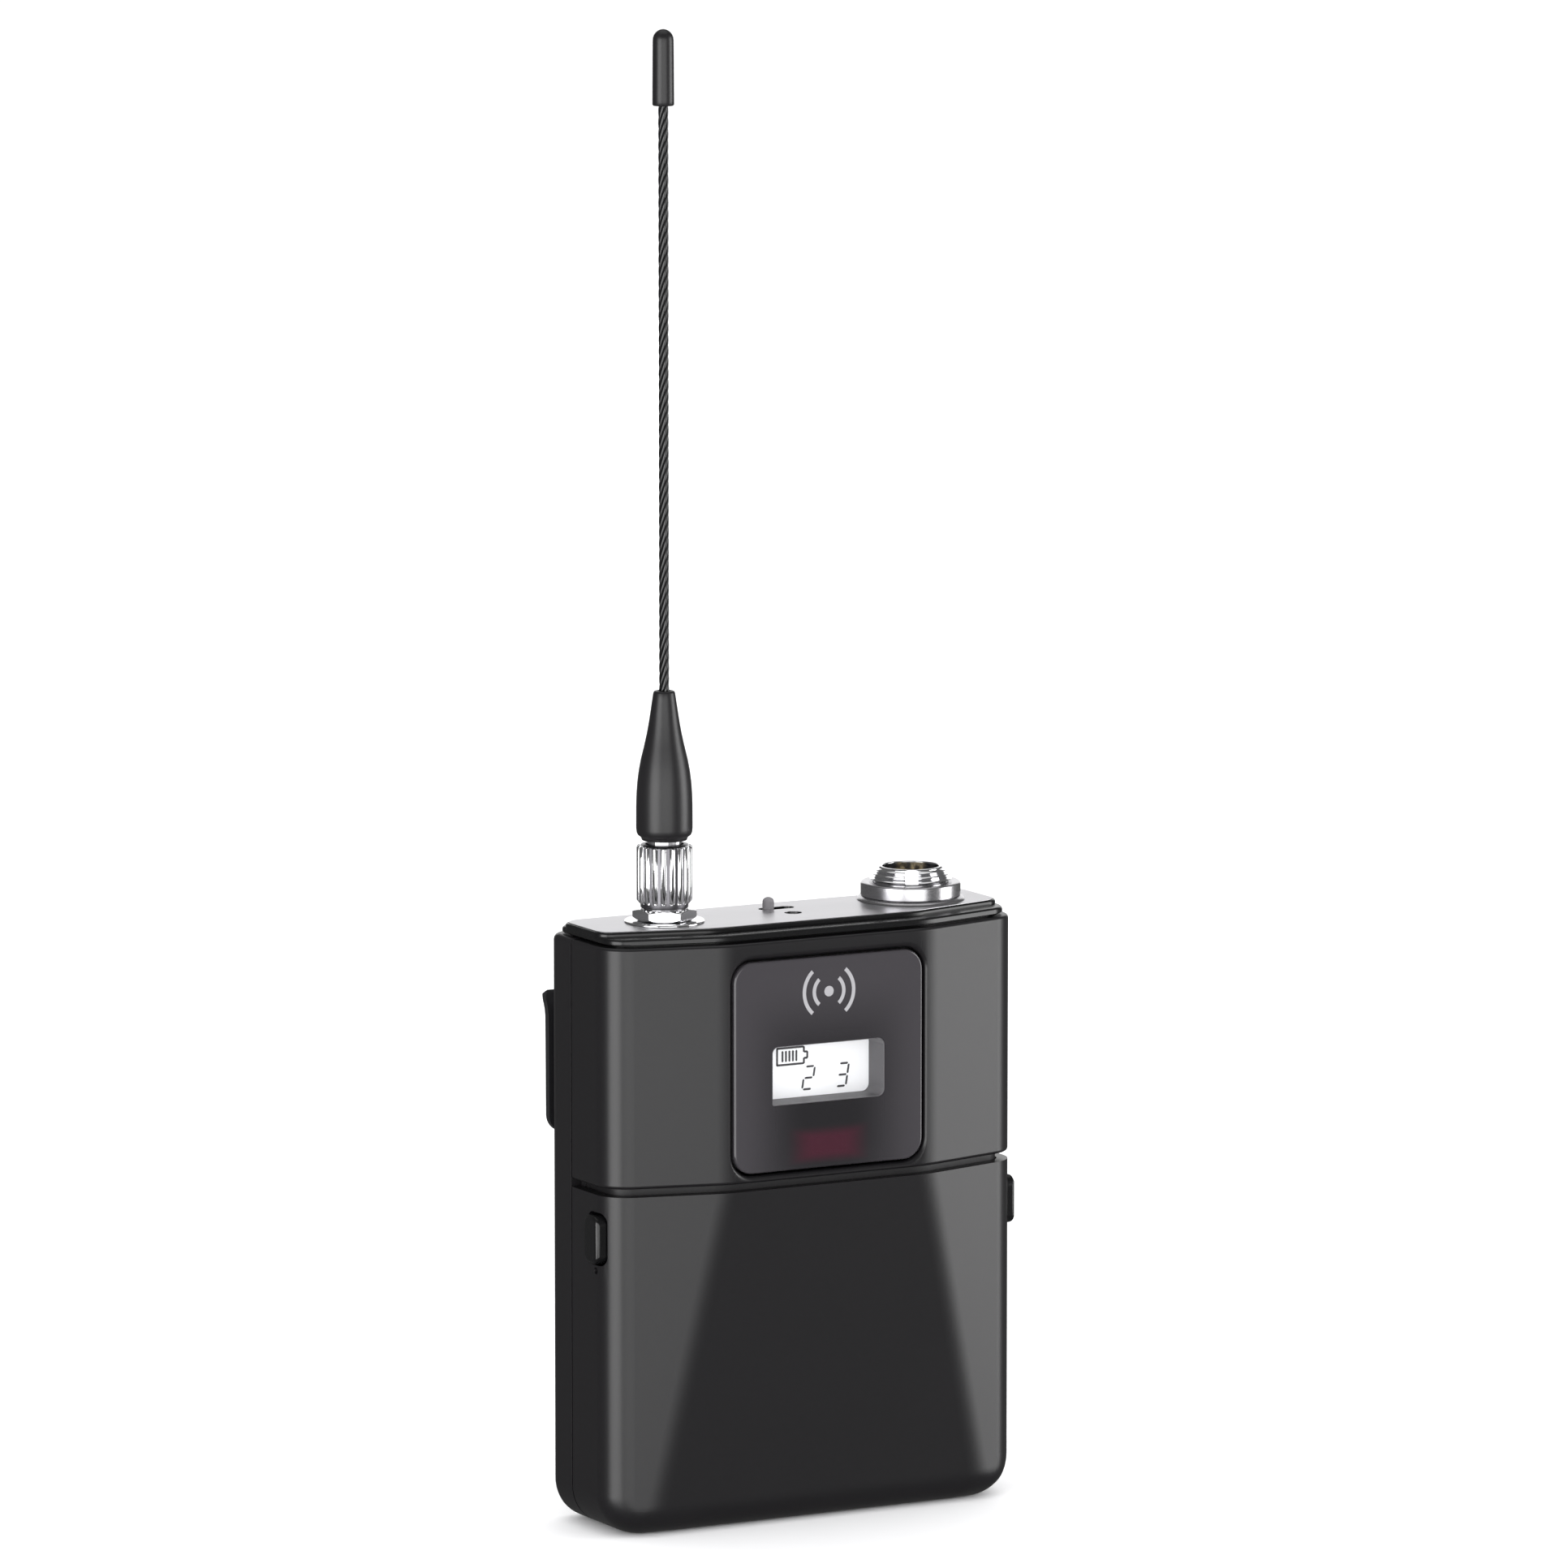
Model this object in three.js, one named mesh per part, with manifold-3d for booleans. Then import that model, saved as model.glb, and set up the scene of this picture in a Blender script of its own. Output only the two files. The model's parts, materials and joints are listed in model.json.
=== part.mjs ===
// Wireless bodypack transmitter: a belt-worn box that stands on its bottom face.
// Millimetres, +Z up, the front looks along -Y.
// The origin is on the bottom face, in the middle of the width.
import * as THREE from 'three';
import { mergeVertices } from 'three/addons/utils/BufferGeometryUtils.js';
import Module from 'manifold-3d';

const wasm = await Module();
wasm.setup();

// ---- Case ----
const HALF_W = 33;
const FRONT_Y = -11.5;
const REAR_Y = 11.5;
const PARTING_Y = 4.1;
const PARTING_GAP = 0.15;
const FACET_SLOPE = 0.258;
const CREASE_X = 16;
const CREASE_R = 14;
const CREASE_ROOM = 5.6;
const FRONT_CORNER_R = 5;
const REAR_CORNER_R = 2.85;
const OUTLINE_CORNER_R = 6;
const BOTTOM_EDGE_R = 3.6;
const REAR_EDGE_R = 2;
const WALL = 1.6;
const SEAM_Z = 49.5;
const SEAM_GAP = 0.5;
const DOOR_LEAN = 2.8 / SEAM_Z;
const COVER_TOP_Z = 84.4;
const SHELL_TOP_Z = 84.5;
const TOUCH = 0.05;
const GAP = 0.3;

// ---- Top cap and plate ----
const CAP_BOTTOM_Z = 80.4;
const CAP_DECK_Z = 83.9;
const CAP_STEP_Z = 85.6;
const CAP_TOP_Z = 85.95;
const PLATE_TOP_Z = 86.3;
const RIM_INSET = 0.9;
const STEP_SETBACK = 3.9;
const PLATE_SETBACK = 4.2;
const STEP_CORNER_R = 2.4;
const PLATE_BACK_Y = 8.9;

// ---- Window and display ----
const WINDOW_HALF_W = 15.2;
const WINDOW_Z = [51.4, 81.6];
const WINDOW_R = 3;
const WINDOW_Y = [-11.35, -9.9];
const DISPLAY_X = [-9.1, 9.1];
const DISPLAY_Z = [60.8, 69.3];
const DISPLAY_Y = [-6.7, -5.7];
const IR_HALF_W = 5;
const IR_Z = [52.8, 56.6];

// ---- Door hinge and latches ----
const HINGE_Y = 2.0;
const HINGE_Z = 2.0;
const HINGE_R = 1.9;
const HINGE_PIN_R = 0.7;
const HINGE_BORE_R = 1.0;
const LUG_HALF_W = 8;
const LUG_FRONT_Y = -2.6;
const BARREL_END_X = 26;
const PIN_HALF_L = 25;
const LATCH_Y = [-5.3, -1.2];
const LATCH_Z = [39.2, 46.2];
const LATCH_X = [29.9, 34];

// ---- Power switch ----
const SLOT = { x: 0, y: 4.2, halfLength: 2.75, halfWidth: 1.05 };
const KNOB = { x: -1.3, r: 0.83, topZ: 88 };
const LED = { x: 0.15, y: -0.5, holeR: 1.25, r: 1.0 };

// ---- Antenna ----
const ANTENNA = { x: -19.6, y: 1.2 };
const JACK_R = 2.95;
const JACK_TOP_Z = 91;
const HEX_CORNER_R = 4.6;
const HEX_Z = [86.65, 88.25];
const HEX_TURN = -27.4;
const NUT_Z = [88.4, 97.4];
const NUT_R = 4.0;
const NUT_FLUTES = 18;
const BOOT_Z = [98, 119.2];
const WHIP_R = 0.72;
const WHIP_Z = [104, 205.5];
const TIP_Z = [201.7, 212.4];
const TIP_R = 1.53;

// ---- Microphone input ----
const INPUT = { x: 21, y: 2.6 };
const INPUT_TOP_Z = 91.1;
const INPUT_BORE_R = 4.0;
const KEYWAY_TURN = -27.4;
const RING_Z = [86.95, 88.9];
const PIN_CIRCLE_R = 1.75;

// ---- Battery bay ----
const CELL_R = 7.25;
const CELL_Y = 1.2;
const CELL_Z = [12.9, 28.2];
const CELL_TIP_X = 27.1;
const CELL_LENGTH = 50.5;
const BAY_HALF_W = 28.2;
const TRAY_Z = [4.8, 36.8];
const TRAY_Y = [-1.5, 9.75];

// ---- Belt clip ----
const CLIP_HINGE = { y: 12.1, z: 36 };
const CLIP_T = 1;
const CLIP_HEAD_HALF_W = 31;
const CLIP_STEM_HALF_W = 12;

const FINISHES = {
  coatedMetal: { color: 0x4a484b, roughness: 0.5, metalness: 0.35 },
  blackPlastic: { color: 0x161518, roughness: 0.35, metalness: 0 },
  satinPlate: { color: 0xd6d5d8, roughness: 0.3, metalness: 0.9 },
  smokedPanel: { color: 0x38373a, roughness: 0.25, metalness: 0 },
  clearPane: { color: 0xf2f5f5, roughness: 0.1, metalness: 0 },
  displayGlass: { color: 0xe9ebec, roughness: 0.3, metalness: 0 },
  darkRed: { color: 0x4c3036, roughness: 0.2, metalness: 0 },
  greyPlastic: { color: 0x7c7a7d, roughness: 0.5, metalness: 0 },
  whitePlastic: { color: 0xdedddb, roughness: 0.5, metalness: 0 },
  rubber: { color: 0x2b2a2d, roughness: 0.7, metalness: 0 },
  chrome: { color: 0xe2e1e4, roughness: 0.08, metalness: 1 },
  satinNickel: { color: 0xb9b8bb, roughness: 0.28, metalness: 1 },
  brass: { color: 0xc9a24a, roughness: 0.3, metalness: 1 },
  steel: { color: 0x9c9ca0, roughness: 0.3, metalness: 1 },
  springSteel: { color: 0x1a1a1c, roughness: 0.4, metalness: 0.6 },
  boardGreen: { color: 0x1f5a3a, roughness: 0.5, metalness: 0 },
  cellSleeve: { color: 0x2f5f8f, roughness: 0.3, metalness: 0.2 },
};

// ---- Helpers ----

// Corners are [x, y, radius]; each sharp or rounded corner gives its own run of points.
function roundedLoop(corners, steps = 4) {
  const points = [];
  const count = corners.length;
  for (let i = 0; i < count; i += 1) {
    const [x, y, radius] = corners[i];
    const before = corners[(i + count - 1) % count];
    const after = corners[(i + 1) % count];
    const here = new THREE.Vector2(x, y);
    if (!radius) {
      points.push(here);
      continue;
    }
    const toBefore = new THREE.Vector2(before[0] - x, before[1] - y).normalize();
    const toAfter = new THREE.Vector2(after[0] - x, after[1] - y).normalize();
    const half = Math.acos(THREE.MathUtils.clamp(toBefore.dot(toAfter), -1, 1)) / 2;
    const reach = radius / Math.tan(half);
    const start = here.clone().addScaledVector(toBefore, reach);
    const end = here.clone().addScaledVector(toAfter, reach);
    const bisector = toBefore.clone().add(toAfter).normalize();
    const centre = here.clone().addScaledVector(bisector, radius / Math.sin(half));
    const from = Math.atan2(start.y - centre.y, start.x - centre.x);
    let sweep = Math.atan2(end.y - centre.y, end.x - centre.x) - from;
    if (sweep > Math.PI) sweep -= 2 * Math.PI;
    if (sweep < -Math.PI) sweep += 2 * Math.PI;
    for (let k = 0; k <= steps; k += 1) {
      const angle = from + (sweep * k) / steps;
      const x = centre.x + radius * Math.cos(angle);
      const y = centre.y + radius * Math.sin(angle);
      points.push(new THREE.Vector2(x, y));
    }
  }
  return points;
}

function rectangleLoop(x0, x1, y0, y1, radius = 0, steps = 4) {
  return roundedLoop([[x0, y0, radius], [x1, y0, radius], [x1, y1, radius], [x0, y1, radius]], steps);
}

function circleLoop(x, y, radius, count = 24) {
  const points = [];
  for (let i = 0; i < count; i += 1) {
    const angle = (2 * Math.PI * i) / count;
    points.push(new THREE.Vector2(x + radius * Math.cos(angle), y + radius * Math.sin(angle)));
  }
  return points;
}

function toSolid(geometry) {
  const bare = geometry.clone();
  bare.deleteAttribute('normal');
  bare.deleteAttribute('uv');
  const merged = mergeVertices(bare, 1e-5);
  return new wasm.Manifold(new wasm.Mesh({
    numProp: 3,
    vertProperties: new Float32Array(merged.attributes.position.array),
    triVerts: new Uint32Array(merged.index.array),
  }));
}

function toGeometry(solid) {
  const mesh = solid.getMesh();
  const geometry = new THREE.BufferGeometry();
  geometry.setAttribute('position', new THREE.BufferAttribute(mesh.vertProperties, 3));
  geometry.setIndex(new THREE.BufferAttribute(mesh.triVerts, 1));
  geometry.computeVertexNormals();
  return geometry;
}

function prismZ(loop, z0, z1) {
  const geometry = new THREE.ExtrudeGeometry(new THREE.Shape(loop), { depth: z1 - z0, bevelEnabled: false });
  geometry.translate(0, 0, z0);
  return toSolid(geometry);
}

// The loop is in X and Z.
function prismY(loop, y0, y1) {
  const geometry = new THREE.ExtrudeGeometry(new THREE.Shape(loop), { depth: y1 - y0, bevelEnabled: false });
  geometry.rotateX(Math.PI / 2);
  geometry.translate(0, y1, 0);
  return toSolid(geometry);
}

// The loop is in Y and Z.
function prismX(loop, x0, x1) {
  const geometry = new THREE.ExtrudeGeometry(new THREE.Shape(loop), { depth: x1 - x0, bevelEnabled: false });
  const turn = new THREE.Matrix4().makeBasis(
    new THREE.Vector3(0, 1, 0),
    new THREE.Vector3(0, 0, 1),
    new THREE.Vector3(1, 0, 0),
  );
  geometry.applyMatrix4(turn);
  geometry.translate(x0, 0, 0);
  return toSolid(geometry);
}

function block(x0, x1, y0, y1, z0, z1) {
  const geometry = new THREE.BoxGeometry(x1 - x0, y1 - y0, z1 - z0);
  geometry.translate((x0 + x1) / 2, (y0 + y1) / 2, (z0 + z1) / 2);
  return toSolid(geometry);
}

// The profile is [radius, height] pairs from the axis back to the axis, or a closed ring of them.
function turned(profile, segments = 28) {
  const geometry = new THREE.LatheGeometry(profile.map(([r, z]) => new THREE.Vector2(r, z)), segments);
  geometry.rotateX(Math.PI / 2);
  return toSolid(geometry);
}

function turnedAt(place, profile, segments = 28) {
  return turned(profile, segments).translate([place.x, place.y, 0]);
}

function cylinderZ(x, y, radius, z0, z1, segments = 24) {
  return prismZ(circleLoop(x, y, radius, segments), z0, z1);
}

function cylinderY(x, z, radius, y0, y1, segments = 20) {
  return prismY(circleLoop(x, z, radius, segments), y0, y1);
}

function cylinderX(y, z, radius, x0, x1, segments = 20) {
  return prismX(circleLoop(y, z, radius, segments), x0, x1);
}

// Joins level rings of equal length into one closed body.
function loft(rings) {
  const count = rings[0].points.length;
  const positions = [];
  for (const ring of rings) {
    for (const point of ring.points) {
      positions.push(point.x, point.y, ring.z);
    }
  }
  const indices = [];
  for (let level = 0; level + 1 < rings.length; level += 1) {
    for (let i = 0; i < count; i += 1) {
      const next = (i + 1) % count;
      const a = level * count + i;
      const b = level * count + next;
      indices.push(a, b, b + count, a, b + count, a + count);
    }
  }
  const top = (rings.length - 1) * count;
  const lowFaces = THREE.ShapeUtils.triangulateShape(rings[0].points, []);
  const highFaces = THREE.ShapeUtils.triangulateShape(rings[rings.length - 1].points, []);
  for (const [a, b, c] of lowFaces) {
    indices.push(c, b, a);
  }
  for (const [a, b, c] of highFaces) {
    indices.push(top + a, top + b, top + c);
  }
  const geometry = new THREE.BufferGeometry();
  geometry.setAttribute('position', new THREE.Float32BufferAttribute(positions, 3));
  geometry.setIndex(indices);
  return toSolid(geometry);
}

// Plan of the front half at one height: sides drawn in by dx, then two sloped facets and the flat middle
// facet, all drawn in by dy.
function frontPlan(dx, dy, z, backY) {
  const lean = Math.max(0, SEAM_Z - z) * DOOR_LEAN;
  const facetShift = dy * Math.hypot(1, FACET_SLOPE);
  const middleY = FRONT_Y + lean + dy;
  const side = HALF_W - dx;
  const crease = Math.min(CREASE_X + (lean + dy - facetShift) / FACET_SLOPE, side - CREASE_ROOM);
  const cornerY = FRONT_Y + FACET_SLOPE * (side - CREASE_X) + facetShift;
  const cornerR = Math.max(0.6, FRONT_CORNER_R - dy);
  return roundedLoop([
    [-side, backY, 0],
    [-side, cornerY, cornerR],
    [-crease, middleY, CREASE_R],
    [crease, middleY, CREASE_R],
    [side, cornerY, cornerR],
    [side, backY, 0],
  ]);
}

function rearPlan(dx, dy, frontY) {
  const side = HALF_W - dx;
  const back = REAR_Y - dy;
  const cornerR = Math.max(0.5, REAR_CORNER_R - dy);
  return roundedLoop([[side, frontY, 0], [side, back, cornerR], [-side, back, cornerR], [-side, frontY, 0]]);
}

// Whole plan for the top cap and plate, drawn in from the case by dx at the sides, dy at the front.
function topPlan(dx, dy, backY, cornerR = FRONT_CORNER_R - 1) {
  const side = HALF_W - dx;
  const cornerY = FRONT_Y + FACET_SLOPE * (side - CREASE_X) + dy;
  return roundedLoop([
    [-side, cornerY, cornerR],
    [-CREASE_X, FRONT_Y + dy, CREASE_R],
    [CREASE_X, FRONT_Y + dy, CREASE_R],
    [side, cornerY, cornerR],
    [side, backY, REAR_CORNER_R],
    [-side, backY, REAR_CORNER_R],
  ]);
}

// How far a rounded edge of this radius has drawn in at height z above the bottom.
function edgeInset(z, radius) {
  if (z >= radius) return 0;
  return radius - Math.sqrt(radius * radius - (radius - z) * (radius - z));
}

// A half case from z0 up to z1, inside the outer form by inset, with its rounded bottom corners and edge.
function halfCase(plan, inset, z0, z1, edgeR, openY) {
  const cornerR = OUTLINE_CORNER_R - inset;
  const rings = [];
  const steps = 8;
  for (let i = 0; i <= steps; i += 1) {
    const rise = cornerR * (1 - Math.cos((Math.PI / 2) * (i / steps)));
    const dx = inset + edgeInset(rise, cornerR);
    const dy = inset + edgeInset(rise, edgeR);
    rings.push({ z: z0 + rise, points: plan(dx, dy, z0 + rise, openY) });
  }
  rings.push({ z: z1, points: plan(inset, inset, z1, openY) });
  return loft(rings);
}

// ---- Case parts ----

function makeRearShell() {
  const frontY = PARTING_Y + PARTING_GAP;
  const plan = (dx, dy, z, openY) => rearPlan(dx, dy, openY);
  const outer = halfCase(plan, 0, 0, SHELL_TOP_Z, REAR_EDGE_R, frontY);
  const inner = halfCase(plan, WALL, WALL, SHELL_TOP_Z + 1, REAR_EDGE_R - 1, frontY - 1);
  let shell = outer.subtract(inner);
  shell = shell.add(block(-LUG_HALF_W, LUG_HALF_W, LUG_FRONT_Y, frontY + 1, 0, WALL));
  shell = shell.add(cylinderX(HINGE_Y, HINGE_Z, HINGE_R, -LUG_HALF_W, LUG_HALF_W));
  shell = shell.add(block(-LUG_HALF_W, LUG_HALF_W, HINGE_Y, frontY + 1, 1, HINGE_Z + HINGE_R));
  shell = shell.subtract(cylinderX(HINGE_Y, HINGE_Z, HINGE_BORE_R, -LUG_HALF_W - 1, LUG_HALF_W + 1));
  for (const [x, z] of caseScrewPlaces()) {
    shell = shell.subtract(cylinderY(x, z, 2.3, REAR_Y - 1.1, REAR_Y + 1));
    shell = shell.subtract(cylinderY(x, z, 1.3, REAR_Y - 3, REAR_Y + 1));
  }
  for (const x of clipScrewPlaces()) {
    shell = shell.subtract(cylinderY(x, CLIP_SCREW_Z, 1.3, REAR_Y - 3, REAR_Y + 1));
  }
  return shell;
}

function makeFrontCover() {
  const z0 = SEAM_Z + SEAM_GAP;
  const backY = PARTING_Y - PARTING_GAP;
  const outer = loft([
    { z: z0, points: frontPlan(0, 0, z0, backY) },
    { z: COVER_TOP_Z - 0.5, points: frontPlan(0, 0, z0, backY) },
    { z: COVER_TOP_Z, points: frontPlan(0.4, 0.4, z0, backY) },
  ]);
  const inner = loft([
    { z: z0 - 1, points: frontPlan(WALL, WALL, z0, backY + 1) },
    { z: COVER_TOP_Z + 1, points: frontPlan(WALL, WALL, z0, backY + 1) },
  ]);
  const hole = rectangleLoop(
    -WINDOW_HALF_W - GAP,
    WINDOW_HALF_W + GAP,
    WINDOW_Z[0] - GAP,
    WINDOW_Z[1] + GAP,
    WINDOW_R + GAP,
  );
  const opening = prismY(hole, FRONT_Y - 1, FRONT_Y + 4);
  return outer.subtract(inner).subtract(opening);
}

function makeTopCap() {
  const skirtOuter = prismZ(topPlan(WALL + GAP, WALL + GAP, REAR_Y - WALL - GAP), CAP_BOTTOM_Z, CAP_STEP_Z);
  const skirtInner = prismZ(topPlan(WALL + 2, WALL + 2, REAR_Y - WALL - 2), CAP_BOTTOM_Z - 1, CAP_DECK_Z);
  const rimFront = prismZ(topPlan(RIM_INSET, RIM_INSET, REAR_Y - RIM_INSET), COVER_TOP_Z + GAP, CAP_STEP_Z)
    .subtract(block(-40, 40, PARTING_Y, 20, 80, SHELL_TOP_Z + 0.15));
  const stepLoop = topPlan(0.75, STEP_SETBACK, PLATE_BACK_Y + 0.2, STEP_CORNER_R);
  const step = prismZ(stepLoop, CAP_STEP_Z - 0.5, CAP_TOP_Z);
  let cap = skirtOuter.subtract(skirtInner).add(rimFront).add(step);
  cap = cap.subtract(cylinderZ(ANTENNA.x, ANTENNA.y, JACK_R + GAP, CAP_BOTTOM_Z, 90));
  cap = cap.subtract(cylinderZ(INPUT.x, INPUT.y, 5.6, CAP_BOTTOM_Z, 90));
  cap = cap.subtract(switchSlot(0.1));
  return cap.subtract(cylinderZ(LED.x, LED.y, LED.holeR, CAP_BOTTOM_Z, 90));
}

function switchSlot(extra) {
  const loop = rectangleLoop(
    SLOT.x - SLOT.halfLength - extra,
    SLOT.x + SLOT.halfLength + extra,
    SLOT.y - SLOT.halfWidth - extra,
    SLOT.y + SLOT.halfWidth + extra,
    SLOT.halfWidth,
  );
  return prismZ(loop, CAP_BOTTOM_Z, 90);
}

function makeTopPlate() {
  const loop = topPlan(0.95, PLATE_SETBACK, PLATE_BACK_Y, STEP_CORNER_R);
  let plate = prismZ(loop, CAP_TOP_Z + TOUCH, PLATE_TOP_Z);
  plate = plate.subtract(cylinderZ(ANTENNA.x, ANTENNA.y, JACK_R + GAP, CAP_BOTTOM_Z, 90));
  plate = plate.subtract(cylinderZ(INPUT.x, INPUT.y, 5.6, CAP_BOTTOM_Z, 90));
  plate = plate.subtract(switchSlot(0));
  return plate.subtract(cylinderZ(LED.x, LED.y, LED.holeR, CAP_BOTTOM_Z, 90));
}

function latchPocket(sign) {
  const xs = [sign * (LATCH_X[0] - 1), sign * (LATCH_X[1] + 2)].sort((a, b) => a - b);
  return block(xs[0], xs[1], LATCH_Y[0] - GAP, LATCH_Y[1] + GAP, LATCH_Z[0] - GAP, LATCH_Z[1] + GAP);
}

function makeBatteryDoor() {
  const top = SEAM_Z - SEAM_GAP;
  const backY = PARTING_Y - PARTING_GAP;
  const outer = halfCase(frontPlan, 0, 0, top, BOTTOM_EDGE_R, backY);
  const inner = halfCase(frontPlan, WALL, WALL, top + 1, BOTTOM_EDGE_R - WALL, backY + 1);
  let door = outer.subtract(inner);
  const notchHalfW = LUG_HALF_W + GAP;
  door = door.subtract(block(-notchHalfW, notchHalfW, LUG_FRONT_Y - 0.6, backY + 1, -1, HINGE_Z + 3));
  for (const sign of [-1, 1]) {
    const ends = [sign * (LUG_HALF_W + GAP), sign * BARREL_END_X].sort((a, b) => a - b);
    door = door.add(cylinderX(HINGE_Y, HINGE_Z, HINGE_R, ends[0], ends[1]));
    door = door.subtract(latchPocket(sign));
  }
  const corner = block(-HALF_W, HALF_W, HINGE_Y, backY + 1, -1, HINGE_Z);
  const roll = cylinderX(HINGE_Y, HINGE_Z, HINGE_R + 0.1, -HALF_W - 1, HALF_W + 1, 28);
  door = door.subtract(corner.subtract(roll));
  return door.subtract(cylinderX(HINGE_Y, HINGE_Z, HINGE_BORE_R, -PIN_HALF_L - GAP, PIN_HALF_L + GAP));
}

function makeHingePin() {
  return cylinderX(HINGE_Y, HINGE_Z, HINGE_PIN_R, -PIN_HALF_L, PIN_HALF_L, 16);
}

function caseScrewPlaces() {
  return [[-26, 43], [26, 43], [-26, 77.5], [26, 77.5]];
}

function clipScrewPlaces() {
  return [-7, 7];
}

function makeCaseScrew([x, z]) {
  const head = cylinderY(x, z, 2.0, REAR_Y - 1.05, REAR_Y - 0.15);
  const shank = cylinderY(x, z, 1.0, REAR_Y - 3, REAR_Y - 0.5, 12);
  return head.add(shank).subtract(crossRecess(x, z, REAR_Y - 0.75, REAR_Y));
}

function crossRecess(x, z, y0, y1) {
  const across = block(x - 1.1, x + 1.1, y0, y1, z - 0.2, z + 0.2);
  return across.add(block(x - 0.2, x + 0.2, y0, y1, z - 1.1, z + 1.1));
}

// ---- Window and display ----

function displayLoop(inset) {
  const [x0, x1] = DISPLAY_X;
  const [z0, z1] = DISPLAY_Z;
  return roundedLoop([
    [x0 + inset, z0 + inset, 0.5],
    [x1 - inset, z0 + inset, 1.2],
    [x1 - inset, z1 - inset, 1.2],
    [x0 + inset, z1 - inset, 0.5],
  ]);
}

function makeDisplayWindow() {
  const loop = rectangleLoop(-WINDOW_HALF_W, WINDOW_HALF_W, WINDOW_Z[0], WINDOW_Z[1], WINDOW_R, 6);
  const irHole = rectangleLoop(-IR_HALF_W - 0.1, IR_HALF_W + 0.1, IR_Z[0] - 0.1, IR_Z[1] + 0.1);
  return prismY(loop, WINDOW_Y[0], WINDOW_Y[1])
    .subtract(prismY(displayLoop(0), WINDOW_Y[0] - 1, WINDOW_Y[1] + 1))
    .subtract(prismY(irHole, WINDOW_Y[0] - 1, WINDOW_Y[1] + 1));
}

function makeDisplayPane() {
  return prismY(displayLoop(0.1), WINDOW_Y[0] + 0.05, WINDOW_Y[0] + 0.45);
}

function makeIrLens() {
  return block(-IR_HALF_W, IR_HALF_W, WINDOW_Y[0] + 0.05, WINDOW_Y[1], IR_Z[0], IR_Z[1]);
}

function makeDisplayModule() {
  return block(-10.6, 10.6, DISPLAY_Y[0], DISPLAY_Y[1], DISPLAY_Z[0] - 1.4, DISPLAY_Z[1] + 1.4);
}

function makeDisplayCarrier() {
  const z0 = DISPLAY_Z[0] - 2.4;
  const z1 = DISPLAY_Z[1] + 2.2;
  const frame = prismY(rectangleLoop(-12, 12, z0, z1, 0.8), WINDOW_Y[1] + TOUCH, 1.9);
  const tunnel = prismY(displayLoop(0), WINDOW_Y[1] - 1, DISPLAY_Y[1]);
  const seat = block(-10.7, 10.7, DISPLAY_Y[0] - TOUCH, 3, DISPLAY_Z[0] - 1.5, DISPLAY_Z[1] + 1.5);
  return frame.subtract(tunnel).subtract(seat);
}

// ---- Latches and buttons ----

function makeLatch(sign) {
  const loop = rectangleLoop(LATCH_Y[0], LATCH_Y[1], LATCH_Z[0], LATCH_Z[1], 1.2);
  const xs = [sign * 31.1, sign * LATCH_X[1]].sort((a, b) => a - b);
  const tab = prismX(loop, xs[0], xs[1]);
  const footXs = [sign * LATCH_X[0], sign * 31.2].sort((a, b) => a - b);
  const foot = block(footXs[0], footXs[1], LATCH_Y[0] + 1.2, 2.6, LATCH_Z[0] + 1.2, LATCH_Z[1] - 1.2);
  return tab.add(foot);
}

function makeButton(x) {
  const cap = cylinderY(x, 42.2, 1.9, -4.3, -1.6);
  return cap.add(cylinderY(x, 42.2, 2.5, -1.7, -0.9));
}

function makeButtonBoard() {
  return block(-16, 16, 0.1, 1.3, 38, 47.5);
}

// ---- Power switch and light ----

function makeSwitchKnob() {
  const { x, r, topZ } = KNOB;
  const profile = [[0, 82.7], [r, 82.7], [r, topZ - 0.5], [r * 0.6, topZ - 0.1], [0, topZ]];
  const stem = turnedAt({ x, y: SLOT.y }, profile, 16);
  return stem;
}

function makeSwitchBody() {
  const loop = rectangleLoop(-5, 5, SLOT.y - 2.1, SLOT.y + 2.1);
  return prismZ(loop, 78.2, 82.4);
}

function makePowerLight() {
  const profile = [[0, 81], [LED.r, 81], [LED.r, 85.6], [LED.r * 0.7, 85.95], [0, 86.1]];
  return turnedAt(LED, profile, 16);
}

// ---- Electronics ----

function makeMainBoard() {
  return block(-29, 29, 2.2, 3.4, 50.5, 77);
}

function makeShieldCan() {
  const can = block(-23, -3, 3.45, 6.4, 54, 74.5);
  return can.subtract(block(-22.7, -3.3, 3.2, 6.1, 54.3, 74.2));
}

function makeSignalChip() {
  return block(4, 13, 3.45, 4.6, 60, 69);
}

// ---- Battery bay ----

function makeBatteryTray() {
  const outer = block(-BAY_HALF_W - 1.2, BAY_HALF_W + 1.2, TRAY_Y[0], TRAY_Y[1], TRAY_Z[0], TRAY_Z[1]);
  const bay = block(-BAY_HALF_W, BAY_HALF_W, TRAY_Y[0] - 1, TRAY_Y[1] - 1, TRAY_Z[0] + 0.7, TRAY_Z[1] - 1);
  return outer.subtract(bay);
}

function makeCell(z, sign) {
  const tip = CELL_TIP_X;
  const end = tip - CELL_LENGTH;
  const profile = [
    [0, end],
    [CELL_R - 0.4, end],
    [CELL_R, end + 0.4],
    [CELL_R, tip - 1.9],
    [CELL_R - 0.4, tip - 1.5],
    [2.6, tip - 1.5],
    [2.6, tip],
    [0, tip],
  ];
  const cell = turned(profile, 28).rotate([0, 90, 0]).translate([0, CELL_Y, z]);
  return sign > 0 ? cell : cell.rotate([0, 0, 180]).translate([0, 2 * CELL_Y, 0]);
}

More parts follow.
